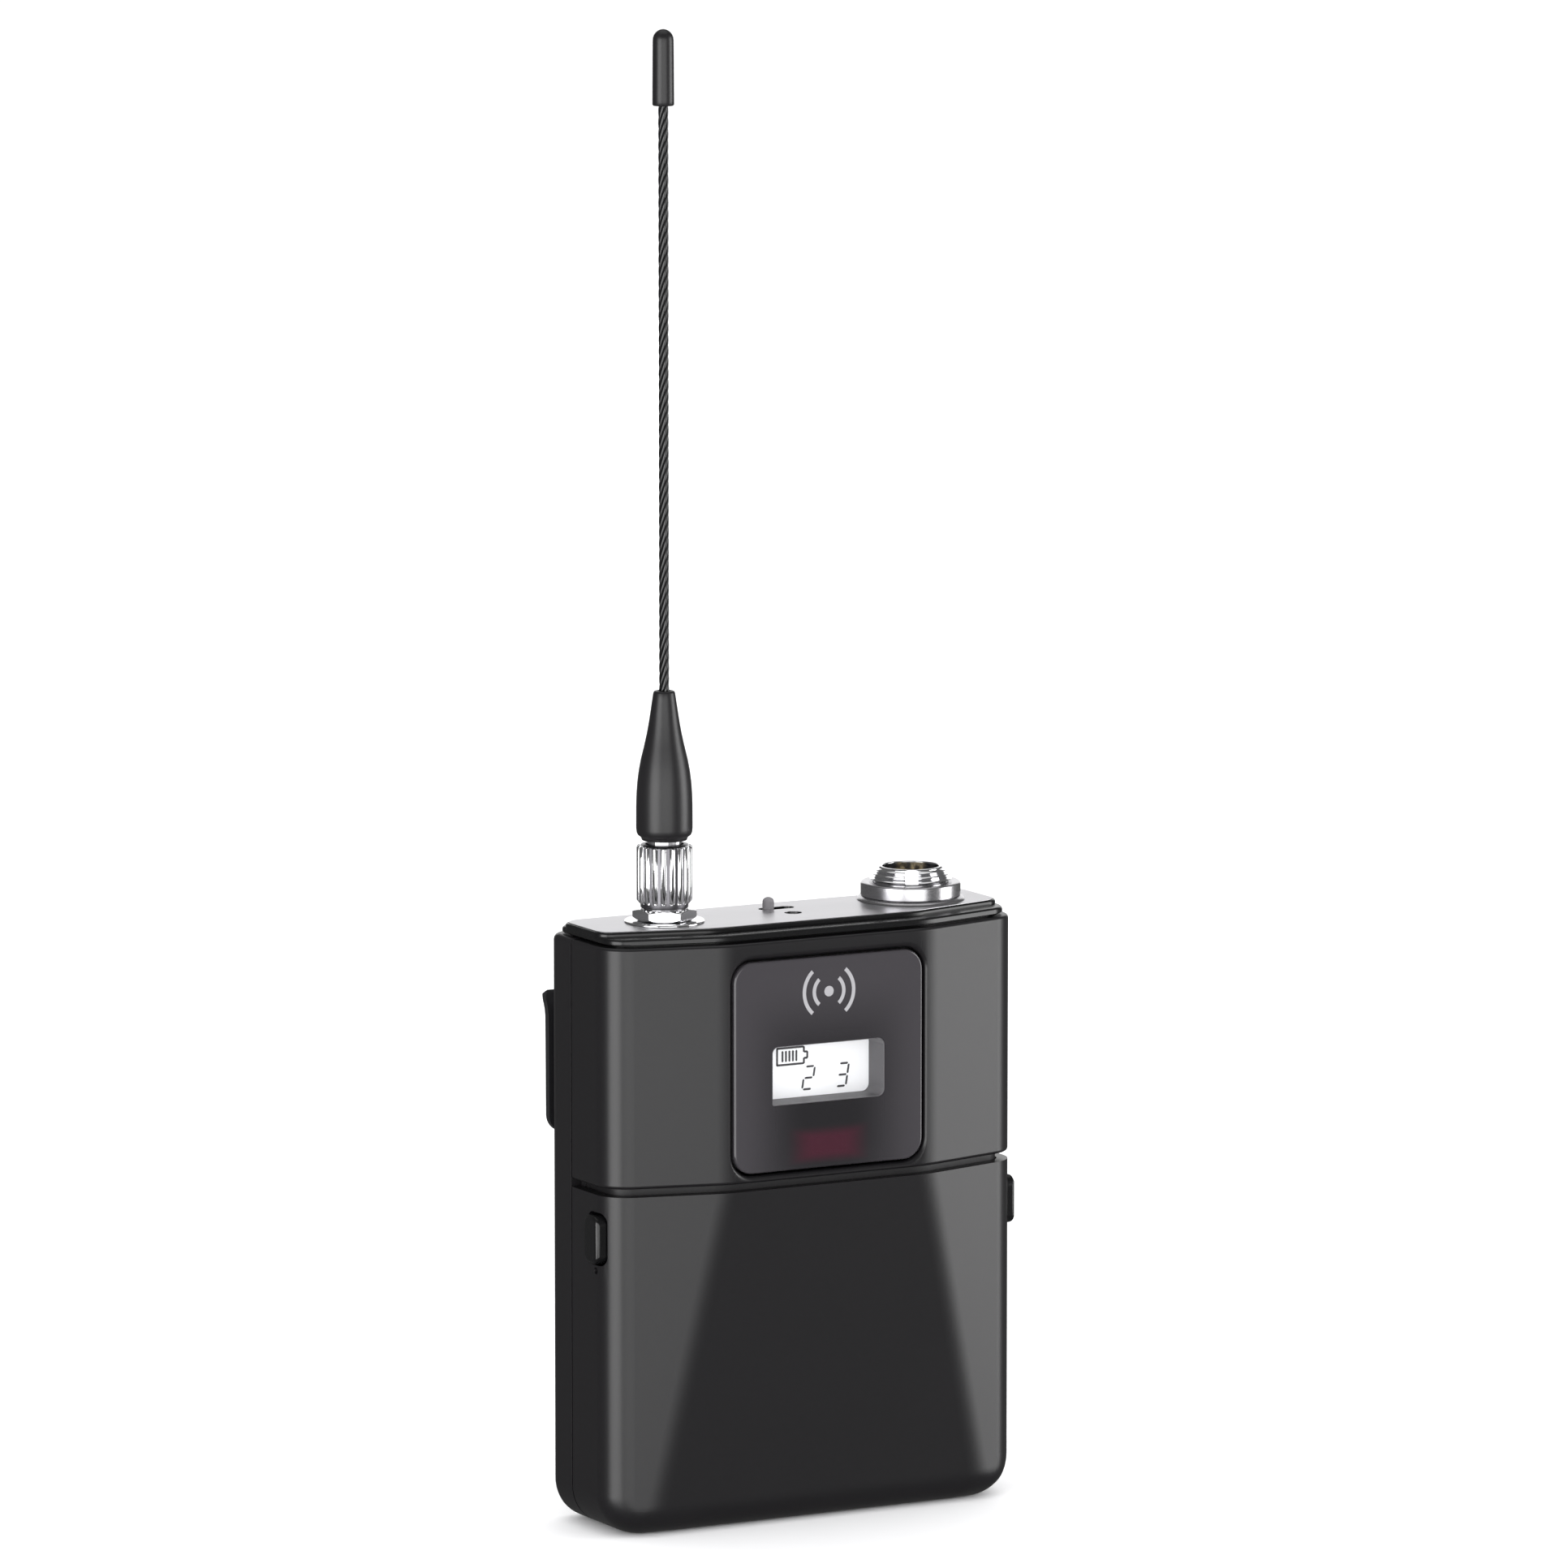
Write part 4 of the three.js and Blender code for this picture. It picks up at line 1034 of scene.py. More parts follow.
@dataclass
class CaseForm:
    """The outer form that the rear shell, the cover and the door share."""

    half_w: float = field(init=False)
    front_y: float = field(init=False)
    rear_y: float = field(init=False)
    seam_z: float = field(init=False)
    facet_slope: float = 0.258
    crease_x: float = 16.0
    crease_r: float = 15.0
    crease_room: float = 5.6
    front_corner_r: float = 5.0
    rear_corner_r: float = 2.85
    outline_r: float = 6.0
    door_lean_mm: float = 2.8
    wall: float = 1.6

    def __post_init__(self) -> None:
        """Reads the case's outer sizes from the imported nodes."""
        shell, cover, door = NodeBox.of("rear_shell"), NodeBox.of("front_cover"), NodeBox.of("battery_door")
        self.half_w = shell.x1
        self.front_y = cover.y0
        self.rear_y = shell.y1
        self.seam_z = (cover.z0 + door.z1) / 2

    def front_plan(self, dx: float, dy: float, z: float, back_y: float) -> Loop:
        """Plan of the front half at one height.

        Args:
            dx: how far the sides are drawn in.
            dy: how far the front facets are drawn in.
            z: the height, which sets how far the door's middle facet leans back.
            back_y: where the half ends at the back.

        Returns:
            The closed loop, from the back left corner round the front.
        """
        lean = max(0.0, self.seam_z - z) * self.door_lean_mm / self.seam_z
        shift = dy * math.hypot(1, self.facet_slope)
        side = self.half_w - dx
        middle = self.front_y + lean + dy
        crease = min(self.crease_x + (lean + dy - shift) / self.facet_slope, side - self.crease_room)
        corner_y = self.front_y + self.facet_slope * (side - self.crease_x) + shift
        radius = max(0.6, self.front_corner_r - dy)
        return rounded_loop(
            [
                (-side, back_y, 0.0), (-side, corner_y, radius), (-crease, middle, self.crease_r),
                (crease, middle, self.crease_r), (side, corner_y, radius), (side, back_y, 0.0),
            ],
            10,
        )

    def rear_plan(self, dx: float, dy: float, front_y: float) -> Loop:
        """Plan of the rear half, from its front edge to its rounded back corners.

        Args:
            dx: Draw-in along X.
            dy: Draw-in along Y.
            front_y: Place of the front edge.

        Returns:
            The plan.
        """
        side, back = self.half_w - dx, self.rear_y - dy
        radius = max(0.5, self.rear_corner_r - dy)
        return rounded_loop(
            [(side, front_y, 0.0), (side, back, radius), (-side, back, radius), (-side, front_y, 0.0)], 10
        )

    def top_plan(self, dx: float, dy: float, back_y: float, radius: float = 4.0) -> Loop:
        """Plan of the cap and the plate, drawn in from the case's own outline.

        Args:
            dx: Draw-in along X.
            dy: Draw-in along Y.
            back_y: Place of the back edge.
            radius: Radius of the rounding.

        Returns:
            The plan.
        """
        side = self.half_w - dx
        corner_y = self.front_y + self.facet_slope * (side - self.crease_x) + dy
        return rounded_loop(
            [
                (-side, corner_y, radius), (-self.crease_x, self.front_y + dy, self.crease_r),
                (self.crease_x, self.front_y + dy, self.crease_r), (side, corner_y, radius),
                (side, back_y, self.rear_corner_r), (-side, back_y, self.rear_corner_r),
            ],
            10,
        )

    def half(
        self, name: str, plan: Callable[[float, float, float], Loop], inset: float, z0: float, z1: float,
        edge_r: float, top_edge: float = 0.0,
    ) -> Piece:
        """Skins one half of the case from its rounded bottom to its top.

        Args:
            name: the piece's name.
            plan: gives the plan for side inset, front inset and height.
            inset: how far inside the outer form the skin lies.
            z0: the bottom.
            z1: the top.
            edge_r: radius of the bottom edge, front to bottom.
            top_edge: radius of the top edge, or 0 for a sharp one.

        Returns:
            The closed half.
        """
        corner = self.outline_r - inset
        levels: list[tuple[float, float, float]] = []
        for i in range(15):
            rise = corner * (1 - math.cos(math.pi / 2 * i / 14))
            levels.append((z0 + rise, inset + round_in(rise, corner), inset + round_in(rise, edge_r)))
        for share in (0.35, 0.7):
            levels.append((z0 + corner + (z1 - z0 - corner - top_edge) * share, inset, inset))
        levels.append((z1 - top_edge, inset, inset))
        for i in range(1, 5 if top_edge else 1):
            angle = math.pi / 2 * i / 4
            gone = inset + top_edge * (1 - math.cos(angle))
            levels.append((z1 - top_edge + top_edge * math.sin(angle), gone, gone))
        return loft(name, [[(x, y, z) for x, y in plan(dx, dy, z)] for z, dx, dy in levels])


def round_in(rise: float, radius: float) -> float:
    """Returns how far a rounded edge of this radius has drawn in at a height above the bottom.

    Args:
        rise: Height above the bottom.
        radius: Radius of the rounding.

    Returns:
        The draw-in.
    """
    if rise >= radius:
        return 0.0
    return radius - math.sqrt(radius * radius - (radius - rise) ** 2)


@dataclass
class CaseShells:
    """The rear shell, the upper front cover and the dark strips that paint shade behind the seams."""

    form: CaseForm
    rear_edge_r: float = 2.4
    lug_half_w: float = 8.0
    hinge_bore_r: float = 1.0
    opening_gap: float = 0.34
    lip_r: float = 0.85
    cover_edge_r: float = 0.5
    shade_backing_gap: float = 0.2
    seam_ease: float = 0.12
    shade_backing_overlap: float = 0.9

    def build(self) -> None:
        """Builds and dresses both shells and the dark strips behind the seam between the cover and the door,
        which are painted shade for the gaps.
        """
        self.build_rear_shell()
        self.build_cover()
        self.build_gap_shade()

    def build_rear_shell(self) -> None:
        """The tub behind the parting line, with the hinge lug at its foot."""
        form, box = self.form, NodeBox.of("rear_shell")
        pin = NodeBox.of("door_hinge_pin")
        front = NodeBox.of("battery_door").y1 + CLEARANCE

        def plan(dx: float, dy: float, z: float) -> Loop:
            """Rear plan that starts at the parting line."""
            return form.rear_plan(dx, dy, front)

        def hollow(dx: float, dy: float, z: float) -> Loop:
            """The same, open past the parting line."""
            return form.rear_plan(dx, dy, front - 1)

        shell = form.half("rear_shell_piece", plan, 0.0, box.z0, box.z1, self.rear_edge_r, 0.9)
        inside = form.half("hollow", hollow, form.wall, form.wall, box.z1 + 1, 1.2)
        combine(shell, inside)
        w, radius = self.lug_half_w, BARREL_R
        foot = [(box.y0, 0.0), (front + 1, 0.0), (front + 1, pin.cz + radius), (pin.cy, pin.cz + radius)]
        for i in range(1, 9):
            angle = math.pi / 2 + math.pi / 2 * i / 8
            foot.append((pin.cy + radius * math.cos(angle), pin.cz + radius * math.sin(angle)))
        foot.append((pin.cy - radius, form.wall))
        foot.append((box.y0, form.wall))
        combine(shell, prism("lug", foot, Axis.X, -w, w), "UNION")
        cut(shell, circle(pin.cy, pin.cz, self.hinge_bore_r, 24), Axis.X, -w - 1, w + 1)
        back = form.rear_y
        sink = [
            (0.0, back - 3), (1.3, back - 3), (1.3, back - 1.1), (2.2, back - 1.1), (2.5, back + 1),
            (0.0, back + 1),
        ]
        for i in range(1, 5):
            screw = NodeBox.of(f"case_screw_{i}")
            combine(shell, turned("sink", sink, (screw.cx, screw.cz), Axis.Y, 32))
        soften(shell, 0.18)
        dress(shell, COATED_METAL, "case", ["rear_shell"])

    def build_cover(self) -> None:
        """The upper front cover with the rounded opening for the display panel."""
        form, box, window = self.form, NodeBox.of("front_cover"), NodeBox.of("display_window")
        back = box.y1
        edge, low = self.cover_edge_r, box.z0 + self.seam_ease
        levels = [(low + edge * (1 - c), edge * (1 - s)) for c, s in quarter(4)]
        levels += [(box.cz, 0.0), (box.z1 - edge, 0.0)]
        levels += [(box.z1 - edge + edge * s, edge * (1 - c)) for c, s in quarter(5)[1:]]
        rings = [lay(form.front_plan(inset, inset, form.seam_z, back), z) for z, inset in levels]
        cover = loft("front_cover_piece", rings)
        cut(
            cover, form.front_plan(form.wall, form.wall, form.seam_z, back + 1), Axis.Z, box.z0 - 1,
            box.z1 + 1,
        )
        rings = []
        gap, r = self.opening_gap, self.lip_r
        lip = [
            (form.front_y + r - r * math.cos(a), gap + r - r * math.sin(a))
            for a in (0, 0.26, 0.52, 0.79, 1.05, 1.31)
        ]
        for y, grow in ((form.front_y - 1, gap + r), *lip, (form.front_y + r, gap), (form.front_y + 4, gap)):
            loop = rectangle(
                window.x0 - grow, window.x1 + grow, window.z0 - grow, window.z1 + grow, 3.0 + grow, 10
            )
            rings.append(lay(loop, y, Axis.Y))
        combine(cover, loft("opening", rings))
        soften(cover, 0.15)
        dress(cover, COATED_METAL, "case", ["front_cover"])

    def build_gap_shade(self) -> None:
        """Dark matt strips behind the gap above the door and behind the parting line at the sides: painted
        shade, standing in for the shade seen in these gaps.
        """
        form, door, cover = self.form, NodeBox.of("battery_door"), NodeBox.of("front_cover")
        outer, inner = form.wall + self.shade_backing_gap, form.wall + self.shade_backing_gap + 0.7
        low, high = door.z1 - self.shade_backing_overlap, cover.z0 + self.shade_backing_overlap
        back = cover.y1 - self.shade_backing_gap
        # A dark band just inside the wall behind the door's seam: painted shade for that gap.
        shade_strip = prism("seam_seal_piece", form.front_plan(outer, outer, form.seam_z, back), Axis.Z, low, high)
        cut(shade_strip, form.front_plan(inner, inner, form.seam_z, cover.y1 + 1), Axis.Z, low - 1, high + 1)
        wall_in, top = form.half_w - form.wall, NodeBox.of("top_cap").z0 - 0.1
        # Dark strips behind the parting line at both sides: painted shade for that gap.
        for sign in (-1, 1):
            x0, x1 = sorted((sign * (wall_in - 0.3), sign * (wall_in - 0.05)))
            lip = prism("lip", rectangle(x0, x1, door.y1 - 1.0, door.y1 + 1.6), Axis.Z, 6.0, top)
            combine(shade_strip, lip, "UNION")
        soften(shade_strip, 0.0)
        dress(shade_strip, TRAY_ABS, "case")


@dataclass
class BatteryDoor:
    """The hinged door, whose middle facet leans back towards the bottom."""

    form: CaseForm
    bottom_edge_r: float = 4.2
    lug_half_w: float = 8.0
    barrel_end_x: float = 26.0
    tab_depth: float = 4.1
    pocket_r: float = 1.4
    dimple_r: float = 0.5
    roll_r: float = 2.0

    def build(self) -> None:
        """Builds the door with its hinge barrels and latch pockets, and dresses it."""
        form, box, pin = self.form, NodeBox.of("battery_door"), NodeBox.of("door_hinge_pin")

        def plan(dx: float, dy: float, z: float) -> Loop:
            """Front plan that ends at the parting line."""
            return form.front_plan(dx, dy, z, box.y1)

        def hollow(dx: float, dy: float, z: float) -> Loop:
            """The same, open past the parting line."""
            return form.front_plan(dx, dy, z, box.y1 + 1)

        door = form.half("battery_door_piece", plan, 0.0, box.z0, box.z1, self.bottom_edge_r)
        combine(
            door,
            form.half("hollow", hollow, form.wall, form.wall, box.z1 + 1, self.bottom_edge_r - form.wall),
        )
        w = self.lug_half_w + CLEARANCE
        cut(door, rectangle(-w, w, -3.2, box.y1 + 1), Axis.Z, -1, pin.cz + 3)
        for sign in (-1, 1):
            low, high = sorted((sign * w, sign * self.barrel_end_x))
            combine(door, prism("barrel", circle(pin.cy, pin.cz, BARREL_R, 40), Axis.X, low, high), "UNION")
            latch = NodeBox.of("latch_left" if sign < 0 else "latch_right")
            y0, y1 = latch.y0 - CLEARANCE, latch.y0 + self.tab_depth + CLEARANCE
            pocket = rectangle(y0, y1, latch.z0 - CLEARANCE, latch.z1 + CLEARANCE, self.pocket_r)
            low, high = sorted((sign * 29.0, sign * 36.0))
            cut(door, pocket, Axis.X, low, high)
            low, high = sorted((sign * 32.4, sign * 34.0))
            cut(door, circle(latch.y0 + 2.1, latch.z0 - 1.1, self.dimple_r, 20), Axis.X, low, high)
        roll = [(pin.cy, -1.0), (box.y1 + 1, -1.0), (box.y1 + 1, pin.cz)]
        roll += [(pin.cy + self.roll_r * c, pin.cz - self.roll_r * s) for c, s in quarter(10)]
        cut(door, roll, Axis.X, -40, 40)
        cut(door, circle(pin.cy, pin.cz, 1.0, 24), Axis.X, pin.x0 - CLEARANCE, pin.x1 + CLEARANCE)
        soften(door, 0.32)
        dress(door, COATED_METAL, "door", ["battery_door"])


@dataclass
class Latches:
    """The two press tabs near the top of the door."""

    foot_inset: float = 1.2
    front_r: float = 0.7
    tab_depth: float = 4.1

    def build(self) -> None:
        """Builds both tabs, each with its foot behind it."""
        for sign, body, node in ((-1, "left_latch", "latch_left"), (1, "right_latch", "latch_right")):
            box = NodeBox.of(node)
            outer = box.x0 if sign < 0 else box.x1
            inner = box.x1 if sign < 0 else box.x0
            y1 = box.y0 + self.tab_depth
            rings = []
            for depth, inset in ((0.0, 0.5), (0.06, 0.25), (0.22, 0.07), (0.5, 0.0), (2.9, 0.0)):
                loop = rectangle(
                    box.y0 + inset, y1 - inset, box.z0 + inset, box.z1 - inset, 1.5 - inset * 0.6, 10
                )
                rings.append(lay(loop, outer - sign * depth, Axis.X))
            tab = loft(f"{node}_tab", rings)
            plan = [
                (outer, y1 + 1, 0.0), (outer, box.y0, self.front_r), (outer - sign * 3.5, box.y0, 0.0),
                (outer - sign * 3.5, y1 + 1, 0.0),
            ]
            combine(
                tab, prism("rounding", rounded_loop(plan, 10), Axis.Z, box.z0 - 1, box.z1 + 1), "INTERSECT"
            )
            low, high = sorted((inner, sign * 31.2))
            a = self.foot_inset
            foot = prism(
                "foot", rectangle(box.y0 + a, box.y1, box.z0 + a, box.z1 - a, 0.6), Axis.X, low, high
            )
            combine(tab, foot, "UNION")
            soften(tab, 0.06)
            dress(tab, BLACK_ABS, body, [node])


# ---------------------------------------------------------------- the top


@dataclass
class TopDeck:
    """The moulded cap, the satin plate, the power knob and the status light."""

    form: CaseForm
    rim_inset: float = 0.9
    slot_half_length: float = 2.75
    slot_half_width: float = 1.05
    plate_inset: float = 1.05
    plate_setback: float = 4.2
    plate_corner_r: float = 2.4
    rim_edge_r: float = 0.42
    light_hole_r: float = 1.25
    jack_hole_r: float = 3.25
    input_hole_r: float = 5.6
    sheet: float = 0.1

    def slot_loop(self, extra: float) -> Loop:
        """Outline of the switch's slot, which is centred between the knob's two ends of travel.

        Args:
            extra: Extra width of the opening.

        Returns:
            The outline.
        """
        knob = NodeBox.of("switch_knob")
        travel = next(j["range_m"][1] for j in frame["joints"] if j["name"] == "power_slide") / MM
        cx, cy = knob.cx + travel / 2, knob.cy
        a, b = self.slot_half_length + extra, self.slot_half_width + extra
        return rectangle(cx - a, cx + a, cy - b, cy + b, b * 0.98, 10)

    def drill(self, piece: Piece, z0: float, z1: float, extra: float) -> None:
        """Cuts the four openings of the deck through a piece.

        Args:
            piece: Piece to change.
            z0: Bottom of the cut.
            z1: Top of the cut.
            extra: Extra width of the opening.
        """
        jack, pin, light = NodeBox.of("antenna_jack"), NodeBox.of("input_barrel"), NodeBox.of("power_light")
        cut(piece, circle(jack.cx, jack.cy, self.jack_hole_r), Axis.Z, z0, z1)
        cut(piece, circle(pin.cx, pin.cy + 0.02, self.input_hole_r), Axis.Z, z0, z1)
        cut(piece, circle(light.cx, light.cy, self.light_hole_r + extra), Axis.Z, z0, z1)
        cut(piece, self.slot_loop(extra), Axis.Z, z0, z1)

    def build(self) -> None:
        """Builds and dresses the four pieces."""
        form, cap, plate = self.form, NodeBox.of("top_cap"), NodeBox.of("top_plate")
        cover, shell = NodeBox.of("front_cover"), NodeBox.of("rear_shell")
        step_z = cap.z1 - 0.35
        skirt_in = form.wall + 0.3
        skirt_plan = form.top_plan(skirt_in, skirt_in, form.rear_y - skirt_in)
        skirt = prism("top_cap_piece", skirt_plan, Axis.Z, cap.z0, step_z - 0.2)
        rings = []
        levels = [(cover.z1 + 0.3, 0.1), (cover.z1 + 0.4, 0.0)]
        levels += [(step_z - self.rim_edge_r * (1 - s), self.rim_edge_r * (1 - c)) for c, s in quarter(5)]
        for z, drawn in levels:
            inset = self.rim_inset + drawn
            rings.append(lay(form.top_plan(inset, inset, form.rear_y - inset), z))
        rim = loft("rim", rings)
        cut(rim, rectangle(-40, 40, NodeBox.of("battery_door").y1 + 0.1, 20), Axis.Z, 80, shell.z1 + 0.15)
        combine(skirt, rim, "UNION")
        rings = []
        back, corner = plate.y1, self.plate_corner_r
        top = plate.z1
        for z, out in (
            (step_z - 0.4, 0.34), (top - 0.42, 0.34), (top - 0.22, 0.26), (top - self.sheet, 0.08)
        ):
            loop = form.top_plan(self.plate_inset - out, self.plate_setback - out, back + out, corner + out)
            rings.append(lay(loop, z))
        combine(skirt, loft("step", rings), "UNION")
        hollow = form.top_plan(form.wall + 2, form.wall + 2, form.rear_y - form.wall - 2)
        cut(skirt, hollow, Axis.Z, cap.z0 - 1, cap.z1 - 2.05)
        self.drill(skirt, cap.z0, cap.z1 + 3, 0.1)
        soften(skirt, 0.08)
        dress(skirt, BLACK_ABS, "case", ["top_cap"])
        rings = []
        for z, inset in ((top - self.sheet, 0.0), (top - 0.04, 0.0), (top, 0.04)):
            loop = form.top_plan(self.plate_inset + inset, self.plate_setback + inset, back - inset, corner)
            rings.append(lay(loop, z))
        sheet = loft("top_plate_piece", rings)
        self.drill(sheet, plate.z0 - 1, plate.z1 + 1, 0.0)
        soften(sheet, 0.04, 1)
        dress(sheet, SATIN_ALUMINIUM, "case", ["top_plate"])
        self.build_knob()
        self.build_light()

    def build_knob(self) -> None:
        """The power knob: a round post with a domed head and a small chamfer at its bottom."""
        box = NodeBox.of("switch_knob")
        r, top = box.radius, box.z1
        profile = [(0.0, box.z0), (r * 0.9, box.z0), (r, box.z0 + 0.2), (r, top - 0.62)]
        profile += [(r * math.cos(a), top - 0.62 + 0.62 * math.sin(a)) for a in (0.35, 0.7, 1.05, 1.35)]
        profile.append((0.0, top))
        knob = soften(turned("power_knob_piece", profile, (box.cx, box.cy), count=32), 0.0)
        dress(knob, GREY_ACETAL, "power_knob", ["switch_knob"])

    def build_light(self) -> None:
        """The status light's small clear dome, set just below the plate."""
        box = NodeBox.of("power_light")
        r, top = box.radius, box.z1
        profile = [(0.0, box.z0), (r, box.z0), (r, top - 0.5)]
        profile += [(r * math.cos(a), top - 0.5 + 0.5 * math.sin(a)) for a in (0.4, 0.8, 1.2)]
        profile.append((0.0, top))
        dome = soften(turned("power_light_piece", profile, (box.cx, box.cy), count=32), 0.0)
        finish = Finish("tinted_light_dome", "3a3335", 0.12, grain_mm=0.5, grain_depth_mm=0.0005)
        dress(dome, finish, "case", ["power_light"])


# ---------------------------------------------------------------- the display panel


@dataclass
class DisplayPanel:
    """The smoked panel, the display in its tunnel, the infrared window and the printed sign."""

    corner_r: float = 3.0
    sleeve: float = 0.14
    edge_r: float = 0.36

    def aperture(self, inset: float) -> Loop:
        """Outline of the display's aperture, with rounder corners on the right.

        Args:
            inset: How far the outline is drawn in.

        Returns:
            The outline.
        """
        box = NodeBox.of("display_pane")
        x0, x1 = box.x0 - 0.1 + inset, box.x1 + 0.1 - inset
        z0, z1 = box.z0 - 0.1 + inset, box.z1 + 0.1 - inset
        return rounded_loop([(x0, z0, 0.4), (x1, z0, 1.1), (x1, z1, 1.1), (x0, z1, 0.9)], 8)

    def build(self, patterns: Patterns) -> None:
        """Builds and dresses every piece of the panel.

        Args:
            patterns: Trees that repeat and twist pieces.
        """
        self.build_panel()
        self.build_tunnel()
        self.build_display(patterns)
        self.build_lens()
        self.build_sign()

    def build_panel(self) -> None:
        """The smoked panel with its rounded border."""
        box, lens = NodeBox.of("display_window"), NodeBox.of("ir_lens")
        rings = []
        round_edge = [(box.y0 + self.edge_r * (1 - c), self.edge_r * (1 - s)) for c, s in quarter(5)]
        for y, inset in (*round_edge, (box.y1, 0.0)):
            loop = rectangle(
                box.x0 + inset, box.x1 - inset, box.z0 + inset, box.z1 - inset, self.corner_r - inset, 12
            )
            rings.append(lay(loop, y, Axis.Y))
        panel = loft("display_window_piece", rings)
        cut(panel, self.aperture(0.0), Axis.Y, box.y0 - 1, box.y1 + 1)
        cut(panel, rectangle(lens.x0, lens.x1, lens.z0, lens.z1), Axis.Y, box.y0 - 1, box.y1 + 1)
        soften(panel, 0.0)
        dress(panel, SMOKED_PANEL, "case", ["display_window"])

    def build_tunnel(self) -> None:
        """The grey frame: a tunnel from the panel's face back to the display, and the box behind it."""
        box, window, glass = NodeBox.of("display_carrier"), NodeBox.of("display_window"), NodeBox.of(
            "display_module"
        )
        frame_piece = prism(
            "display_carrier_piece", rectangle(box.x0, box.x1, box.z0, box.z1, 0.8), Axis.Y, box.y0, box.y1
        )
        combine(
            frame_piece, prism("sleeve", self.aperture(0.0), Axis.Y, window.y0 + 0.12, box.y0 + 1), "UNION"
        )
        cut(frame_piece, self.aperture(self.sleeve), Axis.Y, window.y0 - 1, glass.y1)
        seat = rectangle(glass.x0 - 0.1, glass.x1 + 0.1, glass.z0 - 0.1, glass.z1 + 0.1)
        cut(frame_piece, seat, Axis.Y, glass.y0 - 0.05, box.y1 + 1)
        soften(frame_piece, 0.05, 1)
        dress(frame_piece, GREY_FRAME, "case", ["display_carrier"])

    def build_display(self, patterns: Patterns) -> None:
        """The display's lit face with its battery sign and two digits, and the clear pane in front.

        Args:
            patterns: Trees that repeat and twist pieces.
        """
        box, pane = NodeBox.of("display_module"), NodeBox.of("display_pane")
        face = prism(
            "display_module_piece", rectangle(box.x0, box.x1, box.z0, box.z1, 0.3), Axis.Y, box.y0, box.y1
        )
        soften(face, 0.06, 1)
        dress(face, DISPLAY_FACE, "case", ["display_module"])
        loop = self.aperture(self.sleeve + 0.02)
        glass = prism("display_pane_piece", loop, Axis.Y, pane.y0 + 0.12, pane.y1)
        soften(glass, 0.04, 1)
        dress(glass, CLEAR_PANE, "case", ["display_pane"])
        self.build_segments(box.y0)
        bar = self.ink_bar(0.0, 0.0, 0.15, 0.8, box.y0, 0.0)
        places = [(-4.95 + 0.56 * i, 0.0, 66.9) for i in range(5)]
        bars = patterns.place_copies("battery_sign_bars", bar, DISPLAY_INK, places)
        dress(bars, DISPLAY_INK, "case")

    def ink_bar(self, x: float, z: float, half_x: float, half_z: float, y: float, lean: float) -> Piece:
        """One flat dark bar on the display's face, with cut corners, leaning right by lean per height.

        Args:
            x: Centre along X.
            z: Centre along Z.
            half_x: Half the width.
            half_z: Half the height.
            y: Depth of the display's face.
            lean: Shift to the right per height.

        Returns:
            The bar.
        """
        cut = min(half_x, half_z) * 0.7
        loop = [
            (-half_x + cut, -half_z), (half_x - cut, -half_z), (half_x, -half_z + cut),
            (half_x, half_z - cut), (half_x - cut, half_z), (-half_x + cut, half_z), (-half_x, half_z - cut),
            (-half_x, -half_z + cut),
        ]
        placed = [(x + a + lean * b, z + b) for a, b in loop]
        return prism("bar", placed, Axis.Y, y - 0.03, y - 0.004)

    def build_segments(self, y: float) -> None:
        """The battery sign's outline and the two seven-segment digits, joined into one piece.

        Args:
            y: Depth of the display's face.
        """
        made: list[Piece] = []
        thick = 0.15
        for x, z, a, b in (
            (-3.73, 68.1, 2.2, thick), (-3.73, 65.7, 2.2, thick), (-5.82, 66.9, thick, 1.3),
            (-1.5, 67.72, thick, 0.45), (-1.5, 66.08, thick, 0.45), (-0.95, 66.9, thick, 0.5),
            (-1.2, 67.35, 0.32, thick), (-1.2, 66.45, 0.32, thick),
        ):
            made.append(self.ink_bar(x, z, a, b, y, 0.0))
        half_w, half_h, lean, cz = 0.78, 1.62, 0.16, 63.55
        for marks, cx in (("ABGED", -0.75), ("ABGCD", 4.75)):
            for mark in marks:
                dx, dz, upright = {
                    "A": (0.0, half_h, False), "B": (half_w, half_h / 2, True),
                    "C": (half_w, -half_h / 2, True), "D": (0.0, -half_h, False),
                    "E": (-half_w, -half_h / 2, True), "G": (0.0, 0.0, False),
                }[mark]
                a, b = (thick, half_h / 2 - 0.14) if upright else (half_w - 0.16, thick)
                x = cx + dx + lean * dz
                made.append(self.ink_bar(x, cz + dz, a, b, y, lean))
        work = bmesh.new()
        for piece in made:
            work.from_mesh(piece.data)
            bpy.data.objects.remove(piece)
        mesh = bpy.data.meshes.new("display_segments_piece")
        work.to_mesh(mesh)
        work.free()
        signs = bpy.data.objects.new("display_segments_piece", mesh)
        bpy.context.scene.collection.objects.link(signs)
        dress(signs, DISPLAY_INK, "case")

    def build_lens(self) -> None:
        """The infrared window, set flush in the panel."""
        box, window = NodeBox.of("ir_lens"), NodeBox.of("display_window")
        loop = rectangle(box.x0, box.x1, box.z0, box.z1)
        lens = prism("ir_lens_piece", loop, Axis.Y, window.y0 + 0.002, box.y1)
        soften(lens, 0.0)
        dress(lens, INFRARED_WINDOW, "case", ["ir_lens"])

    def build_sign(self) -> None:
        """A plain printed radio sign, a dot between two pairs of arcs, above the display."""
        window = NodeBox.of("display_window")
        centre = (0.0, 76.6)
        points: list[Point3] = []
        faces: list[list[int]] = []
        y = window.y0 - 0.012

        def strip(inner: Loop, outer: Loop) -> None:
            """Adds one flat printed band between two open lines."""
            base = len(points)
            points.extend((x, y, z) for x, z in inner)
            points.extend((x, y, z) for x, z in outer)
            count = len(inner)
            for i in range(count - 1):
                faces.append([base + i, base + i + 1, base + count + i + 1, base + count + i])

